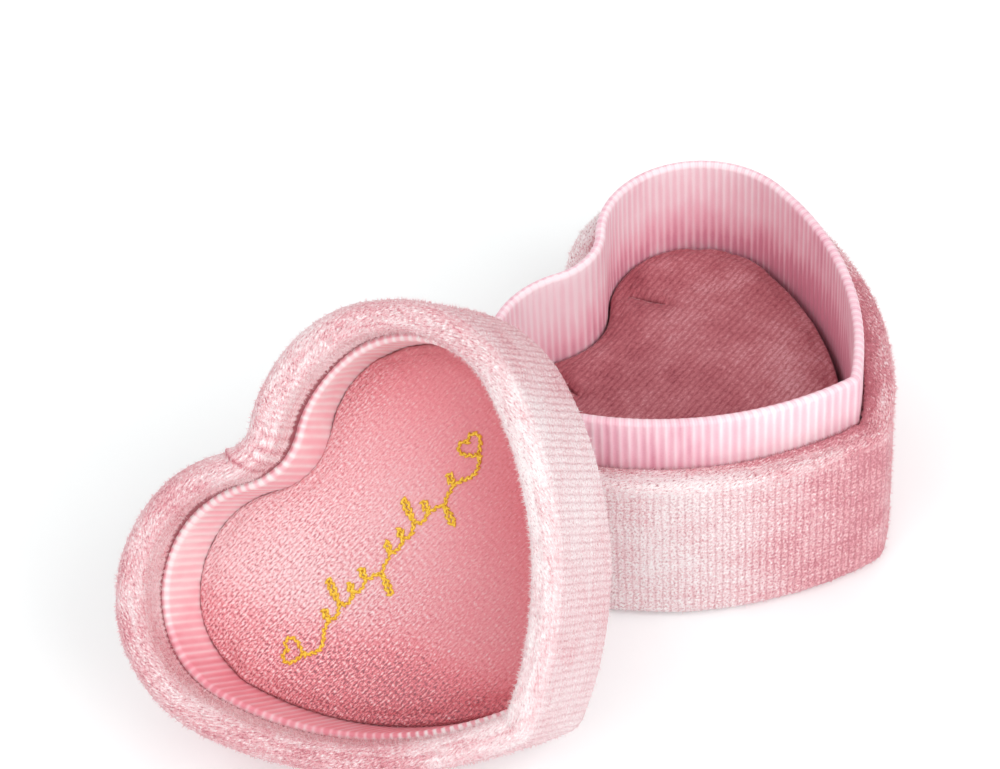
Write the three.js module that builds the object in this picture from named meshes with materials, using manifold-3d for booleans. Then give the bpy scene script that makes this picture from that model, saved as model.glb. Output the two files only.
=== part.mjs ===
// Heart-shaped jewellery box: a velvet-covered base with a ribbon-covered collar, a pad with two
// slits, and a lift-off lid that leans against the side of the base with its opening upwards.
//
// Millimetres, +Z up. The origin is on the base's flat underside, half-way between the centres
// of the heart's two lobes. The tip of the heart points along -Y and its notch along +Y.

import * as THREE from 'three';
import { mergeVertices } from 'three/addons/utils/BufferGeometryUtils.js';
import Module from 'manifold-3d';

const wasm = await Module();
wasm.setup();

const { degToRad } = THREE.MathUtils;

// --------------------------------------------------------------------------------------------
// Driving dimensions
// --------------------------------------------------------------------------------------------

// Heart outline: two lobes, two long flat sides, a rounded tip and a rounded notch
const HALF_WIDTH = 33;
const LOBE_RADIUS = 19.5;
const SIDE_RADIUS = 53.2;
const TIP_REACH = 39.3; // from the line through the lobe centres to the tip
const TIP_RADIUS = 3.5;
const INNER_TIP_RADIUS = 1.2; // the tightest tip that the linings can follow
const NOTCH_RADIUS = 4.5;

// Thickness of each material
const VELVET = 0.5;
const RIBBON = 0.3;
const COLLAR_CARD = 0.6;
const WALL_BOARD = 1.5;
const WALL_FOAM = 1;
const BOTTOM_BOARD = 2;
const TOP_BOARD = 1.5;
const TOP_FOAM = 1.5;
const PANEL_CARD = 0.8;
const PANEL_FOAM = 1.9;
const PAD_CARD = 1;
const PAD_FOAM = 13.5;
const THREAD = 0.4;

// Heights, and how far the cloth is turned in
const BASE_HEIGHT = 27.2; // underside to velvet rim
const LID_HEIGHT = 27.2; // top to velvet rim
const COLLAR_RISE = 8; // how far the base's collar stands above the rim
const BASE_FLAP = 6; // velvet turned down inside the base's rim
const RIBBON_TUCK = 5; // ribbon that goes down between the base's collar and its wall
const LID_RIBBON_TUCK = 3; // ribbon behind the lid's collar
const HEM = 4; // cloth turned in over the edge of a board or card

// Rounded edges
const RIM_ROUND = 1.6;
const PAD_ROUND = 2.5;
const PANEL_ROUND = 1.2;

// Slits in the pad, one on each side, for a chain to pass through
const SLIT_LENGTH = 7.1;
const SLIT_WIDTH = 0.6;
const SLIT_DEPTH = 6;
const SLIT_SPREAD = 10.4; // from the middle of the pad
const SLIT_UP = 7.9; // from the line through the lobe centres
const SLIT_LEAN = degToRad(14);

// Embroidered sprig on the lid's panel
const SPRIG_LENGTH = 42;
const SPRIG_DROP = 6; // below the line through the lobe centres
const SPRIG_WAVE = 1.1;
const STEM_WIDTH = 0.8;
const LEAF_PAIRS = 8;
const LEAF_LENGTH = 4.2;
const LEAF_WIDTH = 1.5;
const LEAF_ANGLE = degToRad(42);

// Clearances
const SEAT_GAP = 0.2; // between glued layers
const COLLAR_CLEARANCE = 0.3; // from the base's collar to the velvet inside the lid
const PAD_CLEARANCE = 0.3; // round the pad, and round the lid's panel
const CLOSED_RIM_GAP = 0.6; // the collars meet first, and keep the rims this far apart
const LEAN_GAP = 0.3; // from the leaning lid to the base's collar

// How the open lid leans, turned from lying on its top with its axes along the base's
const LID_TURN = degToRad(150.2); // about its own axis
const LID_TILT = degToRad(44.5); // of its opening from straight up
const LID_HEADING = degToRad(193.6); // the way the opening faces, from +X
const LID_ALONG = -23.2; // the lid's middle, sideways of its heading from the origin

// --------------------------------------------------------------------------------------------
// Derived layout. Offsets run inwards from the heart outline. The base and the lid are both
// drawn rim up, with heights from the closed end.
// --------------------------------------------------------------------------------------------

// Across the wall
const foamOuter = VELVET + SEAT_GAP;
const foamInner = foamOuter + WALL_FOAM;
const boardOuter = foamInner + SEAT_GAP;
const boardInner = boardOuter + WALL_BOARD;
const flapOuter = boardInner + SEAT_GAP;
const wallInner = flapOuter + VELVET;
const rimRound = Math.min(RIM_ROUND, wallInner / 2);

// Across the collars and what they enclose
const collarWall = 2 * (RIBBON + SEAT_GAP) + COLLAR_CARD;
const baseCollarOuter = wallInner + COLLAR_CLEARANCE;
const padOuter = baseCollarOuter + collarWall + PAD_CLEARANCE;
const lidCollarOuter = flapOuter;
const panelOuter = lidCollarOuter + collarWall + PAD_CLEARANCE;

// Up from the closed end: a velvet sheet, the hem of the wall's velvet, then the stiff layers
const hemHeight = VELVET + SEAT_GAP;
const stackFoot = hemHeight + VELVET + SEAT_GAP;
const bottomBoardTop = stackFoot + BOTTOM_BOARD;
const baseFloor = bottomBoardTop + SEAT_GAP;
const topFoamTop = stackFoot + TOP_FOAM;
const topBoardFoot = topFoamTop + SEAT_GAP;
const topBoardTop = topBoardFoot + TOP_BOARD;
const lidFloor = topBoardTop + SEAT_GAP;

const baseCollarEdge = BASE_HEIGHT + COLLAR_RISE;
const lidCollarEdge = LID_HEIGHT - COLLAR_RISE + CLOSED_RIM_GAP;
const lidFlap = LID_HEIGHT - lidCollarEdge - SEAT_GAP;
const padTop = coveredTop(baseFloor, PAD_CARD, PAD_FOAM);
const panelTop = coveredTop(lidFloor, PANEL_CARD, PANEL_FOAM);

// The face of a pad that stands on a floor: hem, card, foam, and velvet over it.
function coveredTop(floor, card, foam) {
  return floor + VELVET + SEAT_GAP + card + SEAT_GAP + foam + SEAT_GAP + VELVET;
}

// --------------------------------------------------------------------------------------------
// Heart outlines
// --------------------------------------------------------------------------------------------

const LOBE_STEPS = 9;
const SIDE_STEPS = 6;
const TIP_STEPS = 2; // on each side of the point
const NOTCH_STEPS = 2; // on each side of the middle

const lobeCentre = new THREE.Vector2(HALF_WIDTH - LOBE_RADIUS, 0);
const tipCentre = new THREE.Vector2(0, TIP_RADIUS - TIP_REACH);
const notchUp = Math.sqrt((LOBE_RADIUS + NOTCH_RADIUS) ** 2 - lobeCentre.x ** 2);
const notchCentre = new THREE.Vector2(0, notchUp);
const sideCentre = sideArcCentre();

// The centre of the right side's arc, which runs on from the lobe and into the tip.
function sideArcCentre() {
  const toLobe = SIDE_RADIUS - LOBE_RADIUS;
  const toTip = SIDE_RADIUS - TIP_RADIUS;
  const across = tipCentre.clone().sub(lobeCentre);
  const apart = across.length();
  const along = (toLobe ** 2 - toTip ** 2 + apart ** 2) / (2 * apart);
  const aside = Math.sqrt(toLobe ** 2 - along ** 2);
  const inwards = new THREE.Vector2(across.y, -across.x).normalize();
  return lobeCentre.clone().addScaledVector(across.normalize(), along).addScaledVector(inwards, aside);
}

function arc(centre, radius, from, to, steps) {
  return Array.from({ length: steps + 1 }, (_, i) => {
    const angle = from + ((to - from) * i) / steps;
    return new THREE.Vector2(Math.cos(angle), Math.sin(angle)).multiplyScalar(radius).add(centre);
  });
}

// The heart moved inwards by an offset, counterclockwise from the tip. Every arc keeps its
// centre, so the outlines are parallel, but no tip is sharper than INNER_TIP_RADIUS.
function heart(offset) {
  const sideRadius = SIDE_RADIUS - offset;
  const tipRadius = Math.max(TIP_RADIUS - offset, INNER_TIP_RADIUS);
  const tipUp = sideCentre.y - Math.sqrt((sideRadius - tipRadius) ** 2 - sideCentre.x ** 2);
  const tip = new THREE.Vector2(0, tipUp);
  const sideStart = Math.atan2(tip.y - sideCentre.y, tip.x - sideCentre.x);
  const sideEnd = Math.atan2(lobeCentre.y - sideCentre.y, lobeCentre.x - sideCentre.x);
  const lobeEnd = Math.atan2(notchCentre.y - lobeCentre.y, notchCentre.x - lobeCentre.x);
  const right = [
    ...arc(tip, tipRadius, -Math.PI / 2, sideStart, TIP_STEPS),
    ...arc(sideCentre, sideRadius, sideStart, sideEnd, SIDE_STEPS).slice(1),
    ...arc(lobeCentre, LOBE_RADIUS - offset, sideEnd, lobeEnd, LOBE_STEPS).slice(1),
    ...arc(notchCentre, NOTCH_RADIUS + offset, lobeEnd - Math.PI, -Math.PI / 2, NOTCH_STEPS).slice(1),
  ];
  const left = right.slice(1, -1).reverse().map((p) => new THREE.Vector2(-p.x, p.y));
  return [...right, ...left];
}

// --------------------------------------------------------------------------------------------
// Solids from a section
// --------------------------------------------------------------------------------------------

// Joins one heart for each [offset, height] of a section. A closed section makes a ring; an
// open one makes a plate or a tray, with a flat heart at each end.
function loft(section, closed) {
  const rings = section.map(([offset, height]) => heart(offset).map((p) => [p.x, p.y, height]));
  const count = rings[0].length;
  const bands = closed ? rings.length : rings.length - 1;
  const index = [];
  for (let band = 0; band < bands; band++) {
    const near = band * count;
    const far = ((band + 1) % rings.length) * count;
    for (let i = 0; i < count; i++) {
      const j = (i + 1) % count;
      index.push(near + i, near + j, far + j, near + i, far + j, far + i);
    }
  }
  if (!closed) {
    const last = (rings.length - 1) * count;
    for (const [i, j, k] of THREE.ShapeUtils.triangulateShape(heart(section[0][0]), [])) {
      index.push(k, j, i);
    }
    for (const [i, j, k] of THREE.ShapeUtils.triangulateShape(heart(section.at(-1)[0]), [])) {
      index.push(last + i, last + j, last + k);
    }
  }
  const geometry = new THREE.BufferGeometry();
  geometry.setAttribute('position', new THREE.Float32BufferAttribute(rings.flat(2), 3));
  geometry.setIndex(index);
  return facingOut(geometry);
}

// Turns every face round if the closed mesh is inside out.
function facingOut(geometry) {
  const { position } = geometry.attributes;
  const index = geometry.index.array;
  const [a, b, c] = [0, 1, 2].map(() => new THREE.Vector3());
  let volume = 0;
  for (let i = 0; i < index.length; i += 3) {
    a.fromBufferAttribute(position, index[i]);
    b.fromBufferAttribute(position, index[i + 1]);
    c.fromBufferAttribute(position, index[i + 2]);
    volume += a.dot(b.cross(c));
  }
  if (volume < 0) index.reverse();
  return geometry;
}

const ring = (section) => loft(section, true);
const plate = (outer, foot, top) => loft([[outer, foot], [outer, top]], false);
const band = (outer, inner, foot, top) => ring([[outer, foot], [outer, top], [inner, top], [inner, foot]]);

// Points of a rounded corner in a section.
function corner(offset, height, radius, fromDegrees, toDegrees, steps = 2) {
  return Array.from({ length: steps + 1 }, (_, i) => {
    const angle = degToRad(fromDegrees + ((toDegrees - fromDegrees) * i) / steps);
    return [offset + radius * Math.cos(angle), height + radius * Math.sin(angle)];
  });
}

// --------------------------------------------------------------------------------------------
// Joining and cutting
// --------------------------------------------------------------------------------------------

function toManifold(geometry) {
  const plain = geometry.clone();
  plain.deleteAttribute('normal');
  plain.deleteAttribute('uv');
  const merged = mergeVertices(plain, 1e-5);
  return new wasm.Manifold(new wasm.Mesh({
    numProp: 3,
    vertProperties: new Float32Array(merged.attributes.position.array),
    triVerts: new Uint32Array(merged.index.array),
  }));
}

function fromManifold(solid) {
  const mesh = solid.getMesh();
  const geometry = new THREE.BufferGeometry();
  geometry.setAttribute('position', new THREE.BufferAttribute(mesh.vertProperties, 3));
  geometry.setIndex(new THREE.BufferAttribute(mesh.triVerts, 1));
  return geometry;
}

// --------------------------------------------------------------------------------------------
// Walls and collars, the same in the base and the lid
// --------------------------------------------------------------------------------------------

// Velvet from its hem, round the foot, up the outside, over the rim and down inside as a flap.
function wallVelvet(height, flap) {
  const foot = hemHeight + rimRound;
  const rim = height - rimRound;
  const innerRound = rimRound - VELVET;
  const hemEnd = rimRound + HEM;
  return ring([
    [hemEnd, hemHeight],
    ...corner(rimRound, foot, rimRound, 270, 180),
    ...corner(rimRound, rim, rimRound, 180, 90),
    ...corner(wallInner - rimRound, rim, rimRound, 90, 0),
    [wallInner, height - flap],
    [flapOuter, height - flap],
    ...corner(wallInner - rimRound, rim, innerRound, 0, 90),
    ...corner(rimRound, rim, innerRound, 90, 180),
    ...corner(rimRound, foot, innerRound, 180, 270),
    [hemEnd, hemHeight + VELVET],
  ]);
}

// Foam round the outside of the boards, and over the edge of the wall board.
function wallFoam(height) {
  const top = height - VELVET - SEAT_GAP;
  const round = Math.min(rimRound - VELVET - SEAT_GAP, WALL_FOAM);
  return ring([
    [foamInner, stackFoot],
    ...corner(foamOuter + round, stackFoot + round, round, 270, 180),
    ...corner(foamOuter + round, top - round, round, 180, 90),
    ...corner(boardInner - round, top - round, round, 90, 0),
    [boardInner, top - WALL_FOAM],
    [foamInner, top - WALL_FOAM],
  ]);
}

function wallBoard(height, foot) {
  const top = height - VELVET - SEAT_GAP - WALL_FOAM - SEAT_GAP;
  return band(boardOuter, boardInner, foot, top);
}

// Ribbon folded over the free edge of a collar card, down to the floor on the inside.
function collarRibbon(outer, edge, tuck, floor) {
  const inner = outer + collarWall;
  return ring([
    [outer, edge - RIBBON - tuck],
    [outer, edge - RIBBON],
    [outer + RIBBON, edge],
    [inner - RIBBON, edge],
    [inner, edge - RIBBON],
    [inner, floor],
    [inner - RIBBON, floor],
    [inner - RIBBON, edge - RIBBON],
    [outer + RIBBON, edge - RIBBON],
    [outer + RIBBON, edge - RIBBON - tuck],
  ]);
}

function collarCard(outer, edge, floor) {
  const cardOuter = outer + RIBBON + SEAT_GAP;
  return band(cardOuter, cardOuter + COLLAR_CARD, floor, edge - RIBBON - SEAT_GAP);
}

// --------------------------------------------------------------------------------------------
// Covered pads: the one with slits in the base, and the panel in the lid
// --------------------------------------------------------------------------------------------

// A velvet tray turned over a pad: face, rounded edge, side, and a hem under the card.
function padVelvet(outer, floor, top, round) {
  const innerRound = round - VELVET;
  const hemEnd = outer + round + HEM;
  return loft([
    ...corner(outer + round, top - round, round, 90, 180),
    [outer, floor],
    [hemEnd, floor],
    [hemEnd, floor + VELVET],
    [outer + VELVET, floor + VELVET],
    ...corner(outer + round, top - round, innerRound, 180, 90),
  ], false);
}

function padCard(outer, floor, card) {
  const foot = floor + VELVET + SEAT_GAP;
  return plate(outer + VELVET + SEAT_GAP, foot, foot + card);
}

function padFoam(outer, floor, card, top, round) {
  const side = outer + VELVET + SEAT_GAP;
  const foot = floor + VELVET + SEAT_GAP + card + SEAT_GAP;
  const over = top - VELVET - SEAT_GAP;
  const foamRound = Math.min(round - VELVET - SEAT_GAP, over - foot);
  return loft([[side, foot], ...corner(side + foamRound, over - foamRound, foamRound, 180, 90)], false);
}

// The two slits, cut down into a piece of the pad.
function withSlits(geometry) {
  let solid = toManifold(geometry);
  for (const side of [-1, 1]) {
    const slit = new THREE.BoxGeometry(SLIT_WIDTH, SLIT_LENGTH, 2 * SLIT_DEPTH);
    slit.rotateZ(side * SLIT_LEAN);
    slit.translate(side * SLIT_SPREAD, SLIT_UP, padTop);
    solid = solid.subtract(toManifold(slit));
  }
  return fromManifold(solid);
}

// A wavy stem with pairs of leaves, joined into one flat piece of thread work.
function sprig() {
  const wave = (x) => SPRIG_WAVE * Math.sin((2 * Math.PI * x) / SPRIG_LENGTH) - SPRIG_DROP;
  const slope = (x) => Math.atan2(wave(x + 0.01) - wave(x - 0.01), 0.02);
  const steps = 2 * LEAF_PAIRS;
  const along = Array.from({ length: steps + 1 }, (_, i) => SPRIG_LENGTH * (i / steps - 0.5));
  const edge = (side) => along.map((x) => new THREE.Vector2(x, wave(x) + (side * STEM_WIDTH) / 2));
  const flat = { depth: THREAD, bevelEnabled: false, curveSegments: 4 };
  const stem = new THREE.Shape([...edge(-1), ...edge(1).reverse()]);
  let solid = toManifold(new THREE.ExtrudeGeometry(stem, flat));
  for (let pair = 0; pair < LEAF_PAIRS; pair++) {
    const x = SPRIG_LENGTH * ((pair + 0.7) / LEAF_PAIRS - 0.5);
    for (const side of [-1, 1]) {
      const turn = slope(x) + side * LEAF_ANGLE;
      const middle = new THREE.Vector2(LEAF_LENGTH / 2, 0).rotateAround(new THREE.Vector2(), turn);
      const leaf = new THREE.Shape();
      leaf.absellipse(
        x + middle.x, wave(x) + middle.y, LEAF_LENGTH / 2, LEAF_WIDTH / 2, 0, 2 * Math.PI, false, turn,
      );
      solid = solid.add(toManifold(new THREE.ExtrudeGeometry(leaf, flat)));
    }
  }
  return fromManifold(solid).translate(0, 0, panelTop + SEAT_GAP);
}

// --------------------------------------------------------------------------------------------
// Pieces
// --------------------------------------------------------------------------------------------

const finishes = {
  velvet: { color: 0xe6b7c0, roughness: 0.95 },
  padVelvet: { color: 0xa8606e, roughness: 0.95 },
  panelVelvet: { color: 0xee9aa5, roughness: 0.95 },
  baseRibbon: { color: 0xf2bdcd, roughness: 0.7 },
  lidRibbon: { color: 0xf9aab4, roughness: 0.7 },
  board: { color: 0xb9ab95, roughness: 0.9 },
  foam: { color: 0xf1ead8, roughness: 1 },
  thread: { color: 0xd9a93a, roughness: 0.45 },
};

function piece(name, geometry, finish) {
  const faceted = geometry.index ? geometry.toNonIndexed() : geometry;
  faceted.computeVertexNormals();
  const material = new THREE.MeshStandardMaterial({ ...finishes[finish], metalness: 0 });
  const mesh = new THREE.Mesh(faceted, material);
  mesh.name = name;
  return mesh;
}

function makeBase() {
  const collarRibbonGeometry = collarRibbon(
    baseCollarOuter, baseCollarEdge, COLLAR_RISE + RIBBON_TUCK, baseFloor,
  );
  return new THREE.Group().add(
    piece('base_underside_velvet', plate(rimRound, 0, VELVET), 'velvet'),
    piece('base_bottom_board', plate(boardOuter, stackFoot, bottomBoardTop), 'board'),
    piece('base_wall_board', wallBoard(BASE_HEIGHT, baseFloor), 'board'),
    piece('base_wall_foam', wallFoam(BASE_HEIGHT), 'foam'),
    piece('base_wall_velvet', wallVelvet(BASE_HEIGHT, BASE_FLAP), 'velvet'),
    piece('base_collar_card', collarCard(baseCollarOuter, baseCollarEdge, baseFloor), 'board'),
    piece('base_collar_ribbon', collarRibbonGeometry, 'baseRibbon'),
  );
}

function makePad() {
  const foam = padFoam(padOuter, baseFloor, PAD_CARD, padTop, PAD_ROUND);
  const velvet = padVelvet(padOuter, baseFloor, padTop, PAD_ROUND);
  return new THREE.Group().add(
    piece('pad_card', padCard(padOuter, baseFloor, PAD_CARD), 'board'),
    piece('pad_foam', withSlits(foam), 'foam'),
    piece('pad_velvet', withSlits(velvet), 'padVelvet'),
  );
}

function makeLid() {
  const panelFoam = padFoam(panelOuter, lidFloor, PANEL_CARD, panelTop, PANEL_ROUND);
  const lidRibbon = collarRibbon(lidCollarOuter, lidCollarEdge, LID_RIBBON_TUCK, lidFloor);
  return new THREE.Group().add(
    piece('lid_top_velvet', plate(rimRound, 0, VELVET), 'velvet'),
    piece('lid_top_foam', plate(boardOuter, stackFoot, topFoamTop), 'foam'),
    piece('lid_top_board', plate(boardOuter, topBoardFoot, topBoardTop), 'board'),
    piece('lid_wall_board', wallBoard(LID_HEIGHT, lidFloor), 'board'),
    piece('lid_wall_foam', wallFoam(LID_HEIGHT), 'foam'),
    piece('lid_wall_velvet', wallVelvet(LID_HEIGHT, lidFlap), 'velvet'),
    piece('lid_collar_card', collarCard(lidCollarOuter, lidCollarEdge, lidFloor), 'board'),
    piece('lid_collar_ribbon', lidRibbon, 'lidRibbon'),
    piece('lid_panel_card', padCard(panelOuter, lidFloor, PANEL_CARD), 'board'),
    piece('lid_panel_foam', panelFoam, 'foam'),
    piece('lid_panel_velvet', padVelvet(panelOuter, lidFloor, panelTop, PANEL_ROUND), 'panelVelvet'),
    piece('lid_embroidery', sprig(), 'thread'),
  );
}

// Leans the lid on the base: its wall stands on the floor, and its top rests on the edge of the
// base's collar. Both places follow from the sizes.
function lean(lid) {
  lid.rotation.z = LID_TURN;
  const tilted = new THREE.Group().add(lid);
  tilted.rotation.y = LID_TILT;
  const leaning = new THREE.Group().add(tilted);
  leaning.rotation.z = LID_HEADING;

  const height = -new THREE.Box3().setFromObject(leaning, true).min.z;
  const opening = new THREE.Vector3(0, 0, 1).applyEuler(tilted.rotation).applyEuler(leaning.rotation);
  const edge = heart(baseCollarOuter).map((p) => new THREE.Vector3(p.x, p.y, baseCollarEdge));
  const reach = Math.max(...edge.map((p) => p.dot(opening))) + LEAN_GAP;
  const ahead = (reach - height * Math.cos(LID_TILT)) / Math.sin(LID_TILT);
  leaning.position.set(ahead, LID_ALONG, 0).applyEuler(leaning.rotation).setZ(height);
  return leaning;
}

export default new THREE.Group().add(makeBase(), makePad(), lean(makeLid()));
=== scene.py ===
# %% [markdown]
# # A heart-shaped velvet jewellery box
#
# The box has a heavy little base and a lift-off lid, each a board wall wrapped in soft foam and
# covered with corded velvet. A collar covered with grosgrain ribbon stands up inside the base and
# another lines the lid. A velvet pad with two slits fills the base, and a padded velvet panel with
# gold stitching fills the lid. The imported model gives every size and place; this lesson gives the
# cloth, ribbon, padding and thread their real surfaces.

# %% Open the fixed frame
import math

import bmesh
import bpy
import numpy as np
from mathutils import Matrix, Vector, kdtree
from mathutils.bvhtree import BVHTree
from mathutils.geometry import delaunay_2d_cdt


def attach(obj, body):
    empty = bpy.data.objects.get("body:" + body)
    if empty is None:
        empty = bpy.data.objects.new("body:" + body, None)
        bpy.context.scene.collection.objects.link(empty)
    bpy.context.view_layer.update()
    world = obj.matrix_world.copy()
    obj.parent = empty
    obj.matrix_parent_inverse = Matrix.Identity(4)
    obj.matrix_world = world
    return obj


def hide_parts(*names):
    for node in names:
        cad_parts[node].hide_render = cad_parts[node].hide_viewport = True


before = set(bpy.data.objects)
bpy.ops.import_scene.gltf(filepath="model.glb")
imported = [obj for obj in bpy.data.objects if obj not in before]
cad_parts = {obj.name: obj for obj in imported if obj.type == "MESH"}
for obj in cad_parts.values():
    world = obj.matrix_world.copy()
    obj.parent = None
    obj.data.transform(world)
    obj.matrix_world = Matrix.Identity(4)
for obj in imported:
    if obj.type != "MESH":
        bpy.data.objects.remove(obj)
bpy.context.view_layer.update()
MM = 0.001
scene = bpy.context.scene

# %% [markdown]
# ## Camera
#
# A camera can be placed by typing a position and three angles, but a camera on a turntable is
# easier to reason about: it looks at one point, from a distance, at an azimuth and an elevation,
# with a slight roll. Multiplying those moves together gives its matrix.

# %% The camera on its turntable
LENS = 124.14
AZIMUTH = math.radians(-52.02)
ELEVATION = math.radians(45.35)
ROLL = math.radians(-3.6)
AIM = Vector((-21.29, 10.88, 27.0)) * MM
DISTANCE = 483.8 * MM

camera_data = bpy.data.cameras.new("Camera")
camera_data.lens = LENS
camera_data.sensor_width = 36
camera = bpy.data.objects.new("Camera", camera_data)
camera.matrix_world = (
    Matrix.Translation(AIM)
    @ Matrix.Rotation(AZIMUTH, 4, "Z")
    @ Matrix.Rotation(math.pi / 2 - ELEVATION, 4, "X")
    @ Matrix.Rotation(ROLL, 4, "Z")
    @ Matrix.Translation((0, 0, DISTANCE))
)
scene.collection.objects.link(camera)
scene.camera = camera
to_right = camera.matrix_world.to_3x3() @ Vector((1, 0, 0))
to_back = camera.matrix_world.to_3x3() @ Vector((0, 0, 1))
print("camera stands at", [round(v / MM, 1) for v in camera.matrix_world.translation], "mm")

# %% [markdown]
# ## Node trees from expressions
#
# A node tree can be wired up one node at a time, but the maths soon hides among the links. Here a
# small class wraps a socket and overloads the arithmetic signs, so that `1 - mask * 0.4` adds the
# Math nodes by itself. Every other node comes from one method that takes the node's type, its
# settings and the values or links of its sockets. The same two classes serve materials and
# Geometry Nodes.

# %% Wires and graphs
class Wire:
    """A socket's value on its way through a node tree."""

    def __init__(self, graph, socket):
        self.graph = graph
        self.socket = socket

    def _maths(self, operation, a, b=0.0):
        return self.graph.add("ShaderNodeMath", {"operation": operation}, {0: a, 1: b})

    def __add__(self, other):
        return self._maths("ADD", self, other)

    __radd__ = __add__

    def __sub__(self, other):
        return self._maths("SUBTRACT", self, other)

    def __rsub__(self, other):
        return self._maths("SUBTRACT", other, self)

    def __mul__(self, other):
        return self._maths("MULTIPLY", self, other)

    __rmul__ = __mul__

    def __truediv__(self, other):
        return self._maths("DIVIDE", self, other)

    def __rtruediv__(self, other):
        return self._maths("DIVIDE", other, self)

    def __pow__(self, other):
        return self._maths("POWER", self, other)

    def sine(self):
        return self._maths("SINE", self)

    def cosine(self):
        return self._maths("COSINE", self)

    def clamped(self):
        return self.graph.add("ShaderNodeClamp", {}, {"Value": self})


class Graph:
    """A node tree that is written as expressions."""

    def __init__(self, tree):
        self.tree = tree

    def add(self, kind, settings, sockets, out=0):
        """Adds a node with its settings and the values or links of its sockets; gives an output."""
        node = self.tree.nodes.new(kind)
        for name, value in settings.items():
            if name == "stops":
                set_stops(node.color_ramp, value)
            else:
                setattr(node, name, value)
        for name, value in sockets.items():
            socket = pick(node.inputs, name)
            if isinstance(value, Wire):
                self.tree.links.new(value.socket, socket)
            else:
                socket.default_value = value
        return Wire(self, pick(node.outputs, out))

    def mix(self, a, b, factor, blend="MIX"):
        settings = {"data_type": "RGBA", "blend_type": blend}
        return self.add("ShaderNodeMix", settings, {"Factor": factor, "A": a, "B": b}, "Result")

    def noise(self, place, scale, detail=2.0, roughness=0.5):
        sockets = {"Vector": place, "Scale": scale, "Detail": detail, "Roughness": roughness}
        return self.add("ShaderNodeTexNoise", {}, sockets)

    def ramp(self, factor, codes):
        """A colour ramp, from places along it and web colours."""
        stops = [(place, colour(code)) for place, code in codes]
        return self.add("ShaderNodeValToRGB", {"stops": stops}, {"Fac": factor})

    def painted(self, name):
        """A number that the mesh carries for each of its points."""
        return self.add("ShaderNodeAttribute", {"attribute_name": name}, {}, "Fac")

    def solid(self):
        """The place inside the piece, for a pattern that goes right through it."""
        return self.add("ShaderNodeTexCoord", {}, {}, "Object")

    def vector(self, x, y, z=0.0):
        return self.add("ShaderNodeCombineXYZ", {}, {"X": x, "Y": y, "Z": z})

    def parts(self, vector):
        whole = self.add("ShaderNodeSeparateXYZ", {}, {"Vector": vector})
        return [Wire(self, output) for output in whole.socket.node.outputs]


def pick(sockets, name):
    """A node's socket by number, or the first one in use with that name."""
    if isinstance(name, int):
        return sockets[name]
    return next(socket for socket in sockets if socket.name == name and socket.enabled)


def set_stops(ramp, stops):
    while len(ramp.elements) < len(stops):
        ramp.elements.new(0.5)
    for element, (place, shade) in zip(ramp.elements, stops):
        element.position = place
        element.color = shade


def colour(code):
    """A web colour such as E3A9B5 as the linear numbers that shaders work in."""
    channels = [int(code[i : i + 2], 16) / 255 for i in (0, 2, 4)]
    linear = [c / 12.92 if c <= 0.04045 else ((c + 0.055) / 1.055) ** 2.4 for c in channels]
    return (*linear, 1.0)


def new_material(name):
    """An empty material, and the graph that fills it."""
    material = bpy.data.materials.new(name)
    material.use_nodes = True
    material.node_tree.nodes.clear()
    graph = Graph(material.node_tree)
    return material, graph


def finish_material(graph, shader):
    """Puts a shader on the material's output."""
    output = graph.tree.nodes.new("ShaderNodeOutputMaterial")
    graph.tree.links.new(shader.socket, output.inputs["Surface"])


print("wires and graphs are ready")

# %% [markdown]
# ## Floor and light
#
# The box stands on white in a soft daylight studio. The floor could be a plain white plane under a
# very strong lamp, but that would wash the pinks out. Instead the lamps stay at a level at which a
# colour renders about as it is written. The floor adds a little light of its own, where the camera
# or a reflection sees it, so that it reaches white and still keeps the box's shadow.

# %% A white floor that keeps the shadow
FLOOR_SIZE = 6.0
FLOOR_LIFT = 0.11
FLOOR_PAINT = (0.93, 0.96, 0.96, 1)  # a little blue, against the pink that the box throws on it
WHITE = (1, 1, 1, 1)

floor_mesh = bpy.data.meshes.new("Floor")
half_floor = FLOOR_SIZE / 2
floor_mesh.from_pydata(
    [(-half_floor, -half_floor, 0), (half_floor, -half_floor, 0),
     (half_floor, half_floor, 0), (-half_floor, half_floor, 0)], [], [(0, 1, 2, 3)])
floor = bpy.data.objects.new("Floor", floor_mesh)
scene.collection.objects.link(floor)

floor_material, graph = new_material("White floor")
rays = graph.add("ShaderNodeLightPath", {}, {})
seen = Wire(graph, rays.socket.node.outputs["Is Camera Ray"])
shiny = Wire(graph, rays.socket.node.outputs["Is Glossy Ray"])
lift = (seen + shiny).clamped() * FLOOR_LIFT
paint = graph.add("ShaderNodeBsdfDiffuse", {}, {"Color": FLOOR_PAINT})
glow = graph.add("ShaderNodeEmission", {}, {"Color": WHITE, "Strength": lift})
both = graph.add("ShaderNodeAddShader", {}, {0: paint, 1: glow})
finish_material(graph, both)
floor_mesh.materials.append(floor_material)
print("floor is", FLOOR_SIZE, "m wide")

# %% [markdown]
# An overcast sky alone would light the box evenly from all sides, and the ribs would vanish. So
# the sky is dim, and five large lamps stand round the box: a window on the right is the strongest,
# two panels fill the left and the front, and two behind brighten the far rims. The camera sees the
# sky as white all the same.

# %% World and lamps
SKY = 0.42
WORLD_WHITE = 1.0

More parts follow.
